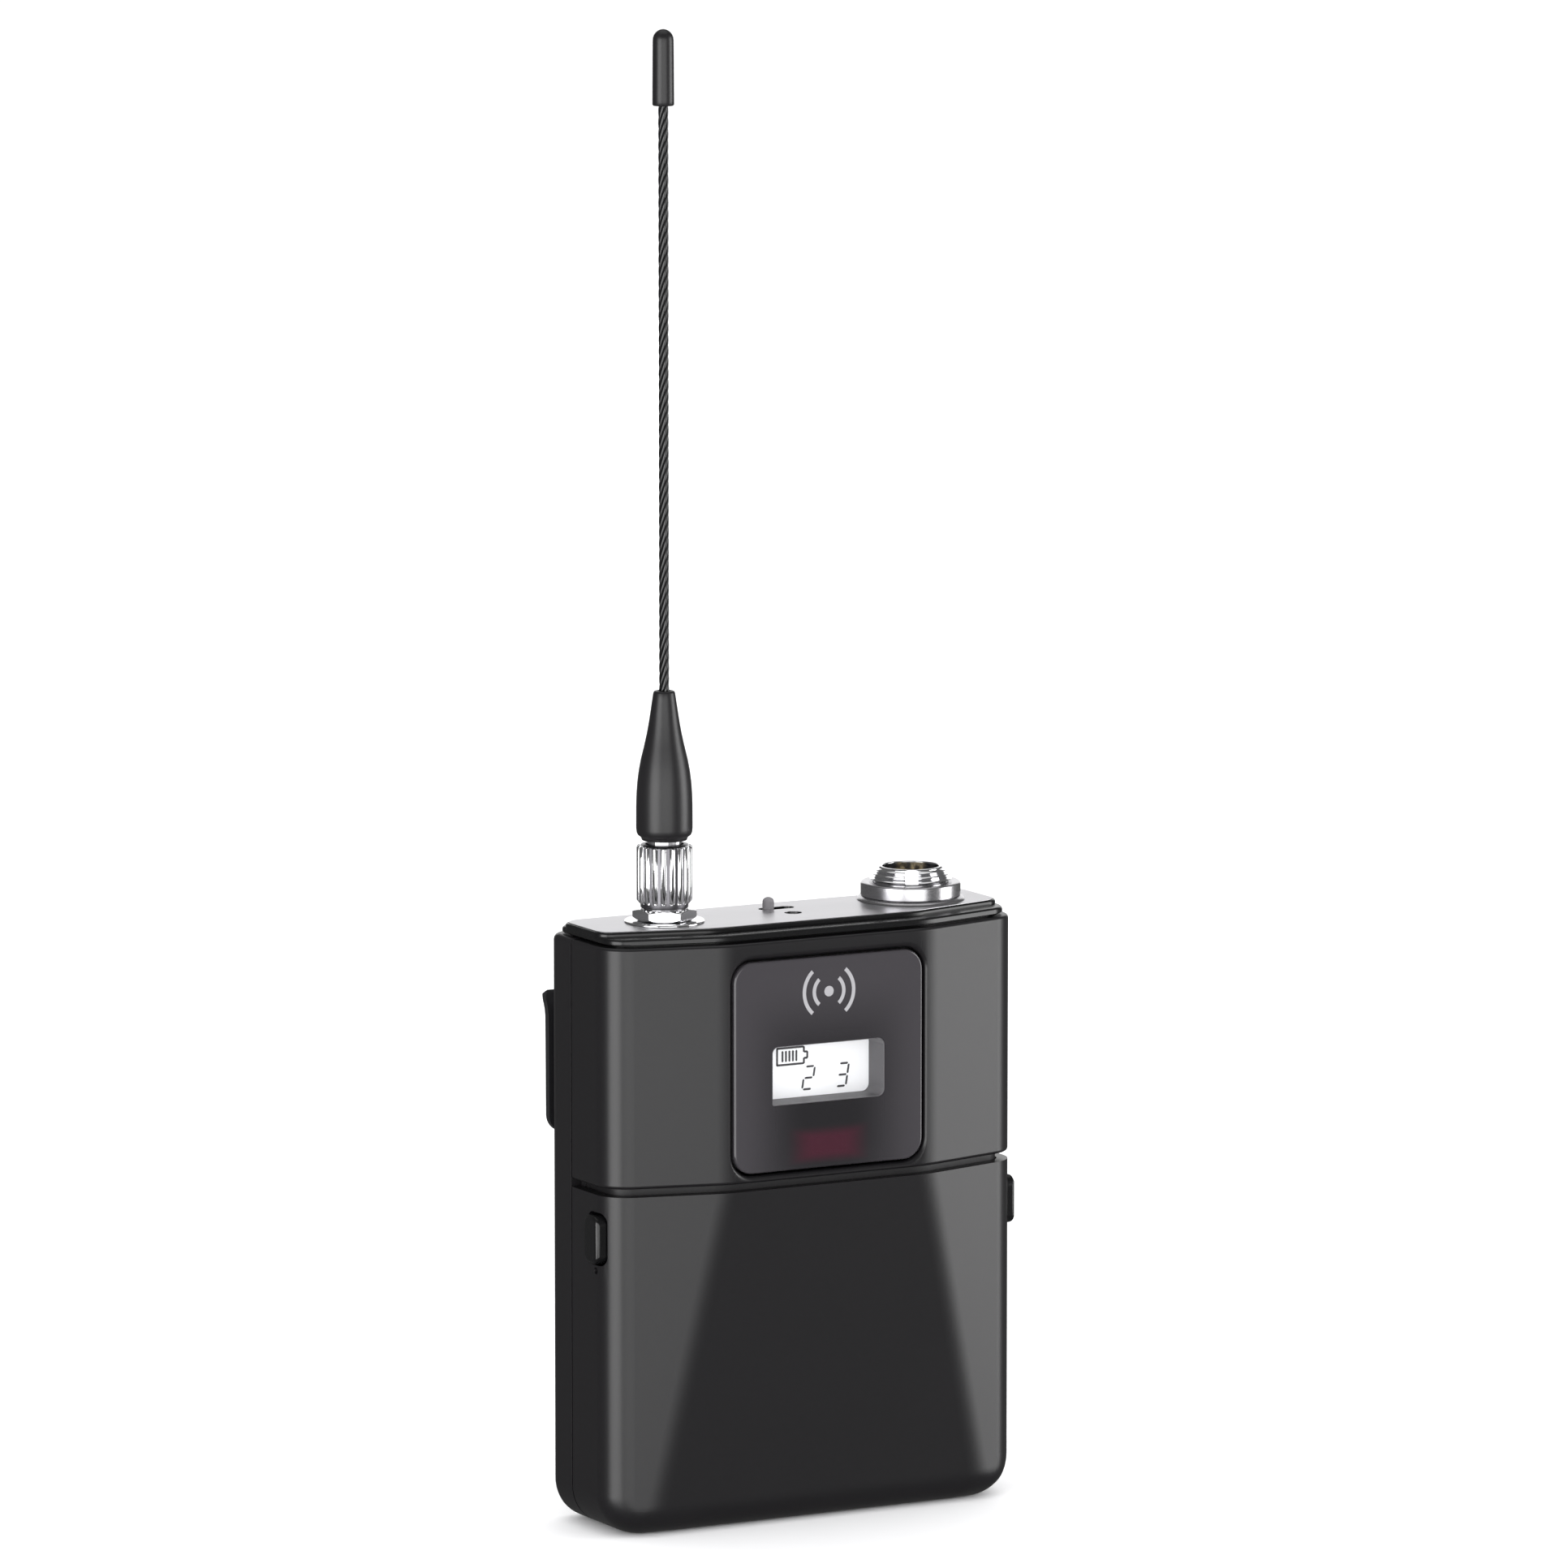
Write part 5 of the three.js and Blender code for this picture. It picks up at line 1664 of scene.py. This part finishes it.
        for side in (0.0, math.pi):
            for radius in (2.1, 3.7):
                spread = 0.85
                angles = [side - spread + 2 * spread * i / 24 for i in range(25)]
                strip(
                    [(centre[0] + radius * math.cos(a), centre[1] + radius * math.sin(a)) for a in angles],
                    [
                        (centre[0] + (radius + 0.55) * math.cos(a), centre[1] + (radius + 0.55) * math.sin(a))
                        for a in angles
                    ],
                )
        base = len(points)
        dot = circle(centre[0], centre[1], 0.75, 32)
        points.extend((x, y, z) for x, z in dot)
        faces.append(list(range(base, base + len(dot))))
        mesh = bpy.data.meshes.new("printed_sign_piece")
        mesh.from_pydata([tuple(c * MM for c in p) for p in points], [], faces)
        sign = bpy.data.objects.new("printed_sign_piece", mesh)
        bpy.context.scene.collection.objects.link(sign)
        work = bmesh.new()
        work.from_mesh(mesh)
        for face in work.faces:
            if face.normal.y > 0:
                face.normal_flip()
        thick = bmesh.ops.extrude_face_region(work, geom=list(work.faces))
        moved = [v for v in thick["geom"] if isinstance(v, bmesh.types.BMVert)]
        bmesh.ops.translate(work, verts=moved, vec=(0.0, -0.012 * MM, 0.0))
        bmesh.ops.recalc_face_normals(work, faces=work.faces)
        work.to_mesh(mesh)
        work.free()
        dress(sign, PRINT_INK, "case")


# ---------------------------------------------------------------- antenna


@dataclass
class Antenna:
    """The washer and hex nut of the jack, the knurled nut, the boot, the whip and its tip."""

    flutes: int = 18
    strand_count: int = 6
    strand_pitch: float = 9.6
    hex_corner_r: float = 4.6

    def build(self, patterns: Patterns) -> None:
        """Builds and dresses the antenna from the deck upwards.

        Args:
            patterns: Trees that repeat and twist pieces.
        """
        jack = NodeBox.of("antenna_jack")
        self.centre = (jack.cx, jack.cy)
        self.build_washer_and_hex()
        self.build_nut(patterns)
        self.build_boot()
        self.build_whip(patterns)
        dress_node("antenna_jack", SATIN_NICKEL)
        dress_node("antenna_ferrule", SATIN_NICKEL)

    def build_washer_and_hex(self) -> None:
        """The flat washer and the chamfered hex nut on the plate."""
        box = NodeBox.of("antenna_washer")
        r = box.radius
        washer = turned(
            "antenna_washer_piece",
            [(3.1, box.z0), (r, box.z0), (r, box.z1 - 0.12), (r - 0.12, box.z1), (3.1, box.z1)], self.centre,
        )
        dress(soften(washer, 0.0), CHROME, "case", ["antenna_washer"])
        box = NodeBox.of("antenna_hex_nut")
        r = self.hex_corner_r
        corners = spun(circle(*self.centre, r, 6), self.centre, FITTING_TURN)
        nut = prism("antenna_hex_nut_piece", corners, Axis.Z, box.z0, box.z1)
        cone = [
            (0.0, box.z0), (r - 0.75, box.z0), (r - 0.05, box.z0 + 0.4), (r - 0.05, box.z1 - 0.4),
            (r - 0.75, box.z1), (0.0, box.z1),
        ]
        combine(nut, turned("cone", cone, self.centre), "INTERSECT")
        cut(nut, circle(*self.centre, 3.1), Axis.Z, box.z0 - 1, box.z1 + 1)
        dress(soften(nut, 0.08, 2, 25), CHROME, "case", ["antenna_hex_nut"])

    def build_nut(self, patterns: Patterns) -> None:
        """The coupling nut: a turned core with a ring of upright lands between its flutes.

        Args:
            patterns: Trees that repeat and twist pieces.
        """
        box = NodeBox.of("coupling_nut")
        r = box.radius
        z0, z1 = box.z0, box.z1
        profile = [
            (3.25, z0), (3.35, z0), (3.4, z0 + 0.08), (3.4, z0 + 0.45), (r - 0.42, z0 + 1.1),
            (r - 0.42, z1 - 0.35), (r - 0.6, z1 - 0.12), (r - 0.75, z1), (2.75, z1), (2.75, z1 - 1.6),
            (3.25, z1 - 1.7),
        ]
        core = soften(turned("coupling_nut_core", profile, self.centre), 0.0)
        # The core takes the darker nickel: painted shade at the bottom of the flutes, between the bright
        # lands.
        dress(core, FLUTE_SHADE_NICKEL, "antenna_nut", ["coupling_nut"])
        width = math.pi * r / self.flutes * 0.62
        rings = []
        for z, grow in ((z0 + 0.62, -0.42), (z0 + 1.12, -0.02), (z1 - 0.32, -0.02), (z1 - 0.1, -0.34)):
            arc = []
            for i in range(9):
                share = -1 + i / 4
                arc.append((r + grow - 0.28 * abs(share) ** 2.5, width * share, z))
            rings.append([(r - 0.75, -width, z), *arc, (r - 0.75, width, z)])
        land = loft("land", rings)
        lands = patterns.ring.run(
            "coupling_nut_lands", CHROME, Piece=land, Count=self.flutes,
            Centre=(self.centre[0] * MM, self.centre[1] * MM, 0.0),
        )
        bpy.data.objects.remove(land)
        dress(lands, CHROME, "antenna_nut")

    def build_boot(self) -> None:
        """The tapered rubber boot, rounded at its foot and drawn in to the whip."""
        box = NodeBox.of("antenna_boot")
        z0, z1 = box.z0, box.z1
        knots = [
            (2.8, z0), (3.2, z0 + 0.02), (3.28, z0 + 0.3), (3.45, z0 + 0.52), (3.75, z0 + 0.72),
            (3.93, z0 + 1.1), (4.0, z0 + 1.7), (4.0, z0 + 3.2), (3.99, z0 + 5.0), (3.94, z0 + 6.6),
            (3.83, z0 + 8.2), (3.62, z0 + 9.9), (3.3, z0 + 11.6), (2.88, z0 + 13.3), (2.46, z0 + 15.2),
            (2.14, z0 + 17.0), (1.9, z0 + 18.6), (1.66, z0 + 20.2), (1.56, z1 - 0.32), (1.45, z1 - 0.08),
            (1.28, z1), (0.95, z1), (0.95, z1 - 2), (2.8, z0 + 5.3),
        ]
        boot = soften(turned("antenna_boot_piece", knots, self.centre), 0.0)
        dress(boot, BOOT_RUBBER, "antenna", ["antenna_boot"])

    def build_whip(self, patterns: Patterns) -> None:
        """The twisted whip and its domed tip.

        Args:
            patterns: Trees that repeat and twist pieces.
        """
        box = NodeBox.of("antenna_whip")
        r = box.radius
        length = box.z1 - box.z0
        whip = patterns.twist.run(
            "antenna_whip_piece", WHIP_JACKET, Count=self.strand_count,
            Steps=int(length / self.strand_pitch * 20), Length=length * MM, Pitch=self.strand_pitch * MM,
            Lay_radius=r * 0.64 * MM, Strand_radius=r * 0.36 * MM,
            Base=(self.centre[0] * MM, self.centre[1] * MM, box.z0 * MM),
        )
        dress(whip, WHIP_JACKET, "antenna", ["antenna_whip"])
        box = NodeBox.of("antenna_tip")
        r, z0, z1 = box.radius, box.z0, box.z1
        profile = [
            (0.85, z0), (r - 0.12, z0), (r, z0 + 0.15), (r, z0 + 0.8), (r * 0.97, z1 - 2.4),
            (r * 0.96, z1 - 1.5),
        ]
        profile += [
            (r * 0.96 * math.cos(a), z1 - 1.5 + 1.5 * math.sin(a)) for a in (0.25, 0.5, 0.75, 1.0, 1.25, 1.42)
        ]
        profile += [(0.0, z1), (0.0, z0 + 4.2), (0.85, z0 + 4.2)]
        tip = soften(turned("antenna_tip_piece", profile, self.centre, count=40), 0.0)
        dress(tip, BOOT_RUBBER, "antenna", ["antenna_tip"])


# ---------------------------------------------------------------- microphone input


@dataclass
class MicrophoneInput:
    """The threaded four-contact input and the nut and washer that hold it."""

    bore_r: float = 4.0
    keyway_half_w: float = 0.9
    keyway_depth_r: float = 4.5

    def build(self, patterns: Patterns) -> None:
        """Builds and dresses the input.

        Args:
            patterns: Trees that repeat and twist pieces.
        """
        barrel_box, ring = NodeBox.of("input_barrel"), NodeBox.of("input_ring_nut")
        washer = NodeBox.of("input_washer")
        centre = (ring.cx, ring.cy)
        top, base = barrel_box.z1, ring.z1
        b = self.bore_r
        profile = [(b, barrel_box.z0), (5.3, barrel_box.z0), (5.3, base + 0.1)]
        crests = ((5.9, base + 0.38), (5.5, base + 1.05), (5.12, base + 1.66))
        for r, z in crests:
            profile += [
                (r - 0.52, z - 0.2), (r - 0.12, z - 0.03), (r, z + 0.03), (r - 0.08, z + 0.12),
                (r - 0.55, z + 0.3),
            ]
        profile += [(4.55, top - 0.12), (4.45, top), (4.12, top), (b, top - 0.14)]
        barrel = turned("input_barrel_piece", profile, centre, count=72)
        w, flat = self.keyway_half_w, self.keyway_depth_r
        notch = spun(
            rectangle(centre[0] - w, centre[0] + w, centre[1] - 7, centre[1] - flat), centre, FITTING_TURN
        )
        cut(barrel, notch, Axis.Z, base + 0.25, top + 1)
        soften(barrel, 0.0)
        dress(barrel, CHROME, "case", ["input_barrel"])
        r = ring.radius
        profile = [
            (5.45, ring.z0), (r - 0.05, ring.z0), (r, ring.z0 + 0.06), (r, ring.z1 - 0.28),
            (r - 0.08, ring.z1 - 0.12), (r - 0.28, ring.z1), (5.7, ring.z1), (5.45, ring.z1 - 0.2),
        ]
        nut = soften(turned("input_ring_nut_piece", profile, centre, count=96), 0.0)
        dress(nut, SATIN_NICKEL, "case", ["input_ring_nut"])
        r = washer.radius
        profile = [
            (5.45, washer.z0), (r, washer.z0), (r - 0.06, washer.z0 + 0.1), (r - 0.45, washer.z1),
            (5.45, washer.z1),
        ]
        seat = soften(turned("input_washer_piece", profile, centre, count=96), 0.0)
        dress(seat, SATIN_NICKEL, "case", ["input_washer"])
        dress_node("input_insulator", BLACK_ABS)
        first = NodeBox.of("input_pin_1")
        pin = turned(
            "pin",
            [
                (0.0, first.z0), (0.45, first.z0), (0.45, first.z1 - 0.5), (0.4, first.z1 - 0.25),
                (0.25, first.z1 - 0.06), (0.0, first.z1),
            ],
            (0.0, 0.0), count=24,
        )
        soften(pin, 0.0)
        names = [f"input_pin_{i}" for i in range(1, 5)]
        places = [(NodeBox.of(n).cx, NodeBox.of(n).cy, 0.0) for n in names]
        pins = patterns.place_copies("input_pins_piece", pin, GOLD_FLASH, places)
        dress(pins, GOLD_FLASH, "case", names)


# ---------------------------------------------------------------- belt clip and back


@dataclass
class BeltClip:
    """The sprung clip on the back: its fixed foot, its arm and the screws."""

    stem_half_w: float = 12.0
    thickness: float = 1.0

    def build(self, patterns: Patterns) -> None:
        """Builds and dresses the clip.

        Args:
            patterns: Trees that repeat and twist pieces.
        """
        root, arm = NodeBox.of("clip_root"), NodeBox.of("clip_arm")
        foot = prism(
            "clip_root_piece", rectangle(root.x0, root.x1, root.z0, root.z1, 2.0, 8), Axis.Y, root.y0, root.y1
        )
        screws = [NodeBox.of("clip_screw_1"), NodeBox.of("clip_screw_2")]
        for screw in screws:
            cut(foot, circle(screw.cx, screw.cz, 1.3, 24), Axis.Y, root.y0 - 1, root.y1 + 1)
        soften(foot, 0.2, 3)
        dress(foot, BLACK_SPRING_STEEL, "case", ["clip_root"])
        self.build_arm(root, arm)
        head = screw_head(screws[0].y0, screws[0].y1, 2.3, domed=True)
        heads = patterns.place_copies(
            "clip_screws_piece", head, ZINC_STEEL, [(s.cx, 0.0, s.cz) for s in screws]
        )
        dress(heads, ZINC_STEEL, "case", ["clip_screw_1", "clip_screw_2"])

    def build_arm(self, root: NodeBox, arm: NodeBox) -> None:
        """The arm: a bent sheet, narrow at the stem, wide at the head, with a flared lip.

        Args:
            root: Box of the root plate.
            arm: Box of the arm.
        """
        t = self.thickness
        hinge_y = (root.y0 + root.y1) / 2
        middle = [
            (hinge_y, arm.z0), (hinge_y + 0.75, arm.z0 + 5), (hinge_y + 1.5, arm.z0 + 10),
            (hinge_y + 2.25, arm.z0 + 15), (15.05, 54.6), (15.2, 55.8), (15.27, 57.2), (15.3, 60.0),
            (15.36, 68.0), (15.42, 71.6), (15.6, 72.6), (15.95, 73.5), (16.45, 74.35), (16.85, 74.85),
        ]
        front: Loop = []
        back: Loop = []
        for i, (y, z) in enumerate(middle):
            before = Vector(middle[max(0, i - 1)])
            after = Vector(middle[min(len(middle) - 1, i + 1)])
            along = (after - before).normalized()
            out = Vector((along.y, -along.x)) * (t / 2)
            back.append((y + out.x, z + out.y))
            front.append((y - out.x, z - out.y))
        sheet = prism("clip_arm_piece", back + front[::-1], Axis.X, arm.x0, arm.x1)
        w, head = self.stem_half_w, arm.x1
        outline = rounded_loop(
            [
                (-w, arm.z0 - 1, 0.0), (w, arm.z0 - 1, 0.0), (w + 2, 54.8, 4.0), (head, 54.8, 2.5),
                (head, 76, 2.5), (-head, 76, 2.5), (-head, 54.8, 2.5), (-w - 2, 54.8, 4.0),
            ],
            10,
        )
        combine(sheet, prism("outline", outline, Axis.Y, 11, 20), "INTERSECT")
        soften(sheet, 0.28, 3, 40)
        dress(sheet, BLACK_SPRING_STEEL, "clip", ["clip_arm"])


def screw_head(y0: float, y1: float, radius: float, domed: bool) -> Piece:
    """Makes one screw about the Y axis, its head at the back, with a cross recess.

    Args:
        y0: the tip of the shank.
        y1: the top of the head.
        radius: the head's radius.
        domed: a pan head, or a flat countersunk one.

    Returns:
        The screw as a plain piece.
    """
    neck = y1 - (1.1 if domed else 0.9)
    profile: list[Point2] = [(0.0, y0), (0.8, y0), (1.0, y0 + 0.2), (1.0, neck)]
    if domed:
        profile += [
            (radius - 0.05, neck), (radius, neck + 0.1), (radius * 0.97, neck + 0.45),
            (radius * 0.8, y1 - 0.15),
        ]
        profile += [(radius * 0.5, y1 - 0.02), (0.0, y1)]
    else:
        profile += [(radius, y1 - 0.12), (radius - 0.08, y1), (0.0, y1)]
    screw = turned("screw", profile, (0.0, 0.0), Axis.Y, 32)
    for a, b in ((1.1, 0.22), (0.22, 1.1)):
        cut(screw, rectangle(-a, a, -b, b), Axis.Y, y1 - 0.5, y1 + 1)
    return soften(screw, 0.03, 1, 50)


@dataclass
class CaseBack:
    """The four case screws and the blank label on the back."""

    def build(self, patterns: Patterns) -> None:
        """Builds and dresses the pieces of the back.

        Args:
            patterns: Trees that repeat and twist pieces.
        """
        names = [f"case_screw_{i}" for i in range(1, 5)]
        boxes = [NodeBox.of(n) for n in names]
        screw = screw_head(boxes[0].y0, boxes[0].y1, 2.0, domed=False)
        screws = patterns.place_copies(
            "case_screws_piece", screw, ZINC_STEEL, [(b.cx, 0.0, b.cz) for b in boxes]
        )
        dress(screws, ZINC_STEEL, "case", names)
        box = NodeBox.of("back_label")
        label = prism(
            "back_label_piece", rectangle(box.x0, box.x1, box.z0, box.z1, 1.5, 8), Axis.Y, box.y0, box.y1
        )
        border = rectangle(box.x0 + 1, box.x1 - 1, box.z0 + 1, box.z1 - 1, 1.0, 8)
        inner = rectangle(box.x0 + 1.35, box.x1 - 1.35, box.z0 + 1.35, box.z1 - 1.35, 0.8, 8)
        groove = prism("groove", border, Axis.Y, box.y1 - 0.06, box.y1 + 1)
        cut(groove, inner, Axis.Y, box.y1 - 1, box.y1 + 2)
        combine(label, groove)
        soften(label, 0.03, 1)
        dress(label, LABEL_PLATE, "case", ["back_label"])


# ---------------------------------------------------------------- battery bay and electronics


@dataclass
class BatteryBay:
    """The tray, the two cells, their contacts, the two keys and their board."""

    def build(self, patterns: Patterns) -> None:
        """Builds and dresses everything behind the door.

        Args:
            patterns: Trees that repeat and twist pieces.
        """
        self.build_tray()
        for node, turned_round in (("cell_lower", False), ("cell_upper", True)):
            self.build_cell(node, turned_round)
        for node, sign in (("contact_spring_lower", 1), ("contact_spring_upper", -1)):
            self.build_spring(patterns, node, sign)
        for node in ("contact_plate_lower", "contact_plate_upper"):
            self.build_plate(node)
        for node, body in (("menu_button", "menu_key"), ("enter_button", "enter_key")):
            self.build_key(node, body)
        board = NodeBox.of("button_board")
        piece = prism(
            "button_board_piece", rectangle(board.x0, board.x1, board.z0, board.z1, 1.0), Axis.Y, board.y0,
            board.y1,
        )
        soften(piece, 0.08, 1)
        dress(piece, SOLDER_MASK, "case", ["button_board"])
        dress_node("door_hinge_pin", ZINC_STEEL)

    def build_tray(self) -> None:
        """The open tray, a rounded box with one bay cut into it."""
        box = NodeBox.of("battery_tray")
        tray = prism(
            "battery_tray_piece", rectangle(box.x0, box.x1, box.z0, box.z1, 1.0), Axis.Y, box.y0, box.y1
        )
        bay = rectangle(box.x0 + 1.2, box.x1 - 1.2, box.z0 + 0.7, box.z1 - 1, 0.8)
        cut(tray, bay, Axis.Y, box.y0 - 1, box.y1 - 1)
        soften(tray, 0.15, 2)
        dress(tray, TRAY_ABS, "case", ["battery_tray"])

    def build_cell(self, node: str, turned_round: bool) -> None:
        """One cell: a sleeved can with a crimped rim, a bare end and a raised button.

        Args:
            node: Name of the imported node.
            turned_round: Whether it points the other way.
        """
        box = NodeBox.of(node)
        r = (box.z1 - box.z0) / 2
        end, tip = box.x0, box.x1
        profile = [
            (0.0, 0.3), (4.6, 0.3), (4.9, 0.05), (r - 0.7, 0.0), (r - 0.25, 0.1), (r, 0.5), (r, 0.9),
            (r, 47.7), (r - 0.12, 48.3), (r - 0.5, 48.85), (r - 1.4, 49.0), (3.4, 48.9), (2.75, 49.0),
            (2.7, 50.1), (2.5, 50.4), (2.2, 50.5), (0.0, 50.5),
        ]
        place = [(radius, end + along if not turned_round else tip - along) for radius, along in profile]
        cell = soften(turned(f"{node}_piece", place, (box.cy, box.cz), Axis.X), 0.0)
        finish = BandedFinish(
            f"printed_cell_sleeve_{node}", "23262b", 0.28, metallic=0.3, grain_mm=0.5, grain_depth_mm=0.001,
            second="b98a3c", split_at_mm=tip - 13 if not turned_round else end + 13, turned=turned_round,
        )
        dress(cell, finish, "case", [node])

    def build_spring(self, patterns: Patterns, node: str, sign: int) -> None:
        """The coiled contact spring at a cell's flat end.

        Args:
            patterns: Trees that repeat and twist pieces.
            node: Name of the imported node.
            sign: Side along X.
        """
        box = NodeBox.of(node)
        base = box.x0 + 0.35 if sign > 0 else box.x1 - 0.35
        spring = patterns.coil.run(
            f"{node}_piece", ZINC_STEEL, Turns=3.0, Foot_radius=4.8 * MM, Tip_radius=2.4 * MM,
            Length=2.5 * MM, Wire_radius=0.33 * MM, Base=(base * MM, box.cy * MM, box.cz * MM),
            Turn=(0.0, sign * math.pi / 2, 0.0),
        )
        dress(spring, ZINC_STEEL, "case", [node])

    def build_plate(self, node: str) -> None:
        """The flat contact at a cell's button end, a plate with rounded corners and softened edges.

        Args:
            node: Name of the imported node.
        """
        box = NodeBox.of(node)
        plate = prism(f"{node}_piece", rectangle(box.y0, box.y1, box.z0, box.z1, 0.8), Axis.X, box.x0, box.x1)
        soften(plate, 0.12, 2)
        dress(plate, ZINC_STEEL, "case", [node])

    def build_key(self, node: str, body: str) -> None:
        """One round key with a dished face.

        Args:
            node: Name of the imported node.
            body: Body that it rides on.
        """
        box = NodeBox.of(node)
        y0, y1 = box.y0, box.y1
        profile = [
            (0.0, y0 + 0.18), (1.2, y0 + 0.1), (1.6, y0), (1.78, y0 + 0.05), (1.9, y0 + 0.3), (1.9, y0 + 2.6),
            (2.4, y0 + 2.65), (2.5, y0 + 2.75), (2.5, y1), (0.0, y1),
        ]
        key = soften(turned(f"{node}_piece", profile, (box.cx, box.cz), Axis.Y, 40), 0.0)
        dress(key, GREY_ACETAL, body, [node])


@dataclass
class Electronics:
    """The boards' larger parts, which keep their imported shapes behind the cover."""

    def build(self) -> None:
        """Dresses the parts that the case hides."""
        dress_node("main_board", SOLDER_MASK)
        dress_node("shield_can", ZINC_STEEL)
        dress_node("signal_chip", TRAY_ABS)
        dress_node("switch_body", TRAY_ABS)


# ---------------------------------------------------------------- studio


@dataclass
class SoftBox:
    """One rectangular studio light."""

    name: str
    position: Point3
    aim: Point3
    width: float
    height: float
    watts: float

    def build(self) -> None:
        """Adds the light, aimed at its target."""
        lamp = bpy.data.lights.new(self.name, "AREA")
        lamp.shape = "RECTANGLE"
        lamp.size = self.width
        lamp.size_y = self.height
        lamp.energy = self.watts
        holder = bpy.data.objects.new(self.name, lamp)
        holder.location = self.position
        towards = Vector(self.aim) - Vector(self.position)
        holder.rotation_euler = towards.to_track_quat("-Z", "Y").to_euler()
        holder.visible_camera = False
        bpy.context.scene.collection.objects.link(holder)


@dataclass
class Studio:
    """The floor, the lights, the backdrop and the camera."""

    camera_at: Point3 = (-0.759093, -1.386978, 0.339196)
    camera_turn: Point3 = (81.563, 0.0, -28.659)
    lens_mm: float = 259.06

    def build(self) -> None:
        """Sets up everything that isn't the object."""
        self.build_camera()
        self.build_world()
        floor = prism("floor", rectangle(-6000, 6000, -6000, 6000), Axis.Z, -20, -0.02)
        paper = Finish("pale_paper", "f4f4f5", 0.75, grain_mm=3.0, grain_depth_mm=0.01, mottle=0.005)
        floor.data.materials.append(paper.material())
        floor.visible_glossy = False
        floor.visible_shadow = False
        target = (0.0, 0.0, 0.06)
        for light in (
            SoftBox("right_panel", (1.06, -0.563, 0.15), target, 0.6, 0.9, 8.0),
            SoftBox("left_panel", (-0.36, -1.144, 0.08), target, 1.1, 0.9, 7.5),
            SoftBox("left_strip", (-1.11, -0.45, 0.08), target, 0.86, 0.9, 11.0),
            SoftBox("back_panel", (0.75, 1.35, 0.35), target, 1.3, 0.9, 4.3),
            SoftBox("overhead", (0.1, 0.2, 1.3), (0.0, 0.0, 0.0), 1.2, 1.2, 3.0),
        ):
            light.build()

    def build_camera(self) -> None:
        """The camera at the reference view, with no shift and no depth of field."""
        data = bpy.data.cameras.new("camera")
        data.lens = self.lens_mm
        data.sensor_width = 36.0
        data.clip_end = 50.0
        camera = bpy.data.objects.new("camera", data)
        camera.location = self.camera_at
        camera.rotation_euler = [math.radians(a) for a in self.camera_turn]
        bpy.context.scene.collection.objects.link(camera)
        bpy.context.scene.camera = camera

    def build_world(self) -> None:
        """An even surround: white to direct sight, grey as fill light, and dark in reflections."""
        world = bpy.data.worlds.new("surround")
        bpy.context.scene.world = world
        world.use_nodes = True
        tree = world.node_tree
        background = tree.nodes["Background"]
        sight = put(tree, "ShaderNodeLightPath")
        indirect = put(
            tree, "ShaderNodeMapRange", {"To Min": 1.3, "To Max": 0.12},
            {"Value": sight.outputs["Is Glossy Ray"]},
        )
        level = put(
            tree, "ShaderNodeMapRange", {"To Max": 1.0},
            {"Value": sight.outputs["Is Camera Ray"], "To Min": indirect.outputs["Result"]},
        )
        background.inputs["Color"].default_value = (1.0, 1.0, 1.0, 1.0)
        tree.links.new(level.outputs["Result"], background.inputs["Strength"])
        bpy.context.scene.view_settings.view_transform = "Standard"


def main() -> None:
    """Builds the transmitter, sub-assembly by sub-assembly, and the studio around it."""
    logging.basicConfig(level=logging.INFO, format="%(message)s")
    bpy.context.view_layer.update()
    Studio().build()
    patterns = Patterns()
    form = CaseForm()
    CaseShells(form).build()
    BatteryDoor(form).build()
    Latches().build()
    TopDeck(form).build()
    DisplayPanel().build(patterns)
    Antenna().build(patterns)
    MicrophoneInput().build(patterns)
    BeltClip().build(patterns)
    CaseBack().build(patterns)
    BatteryBay().build(patterns)
    Electronics().build()


if __name__ == "__main__":
    main()
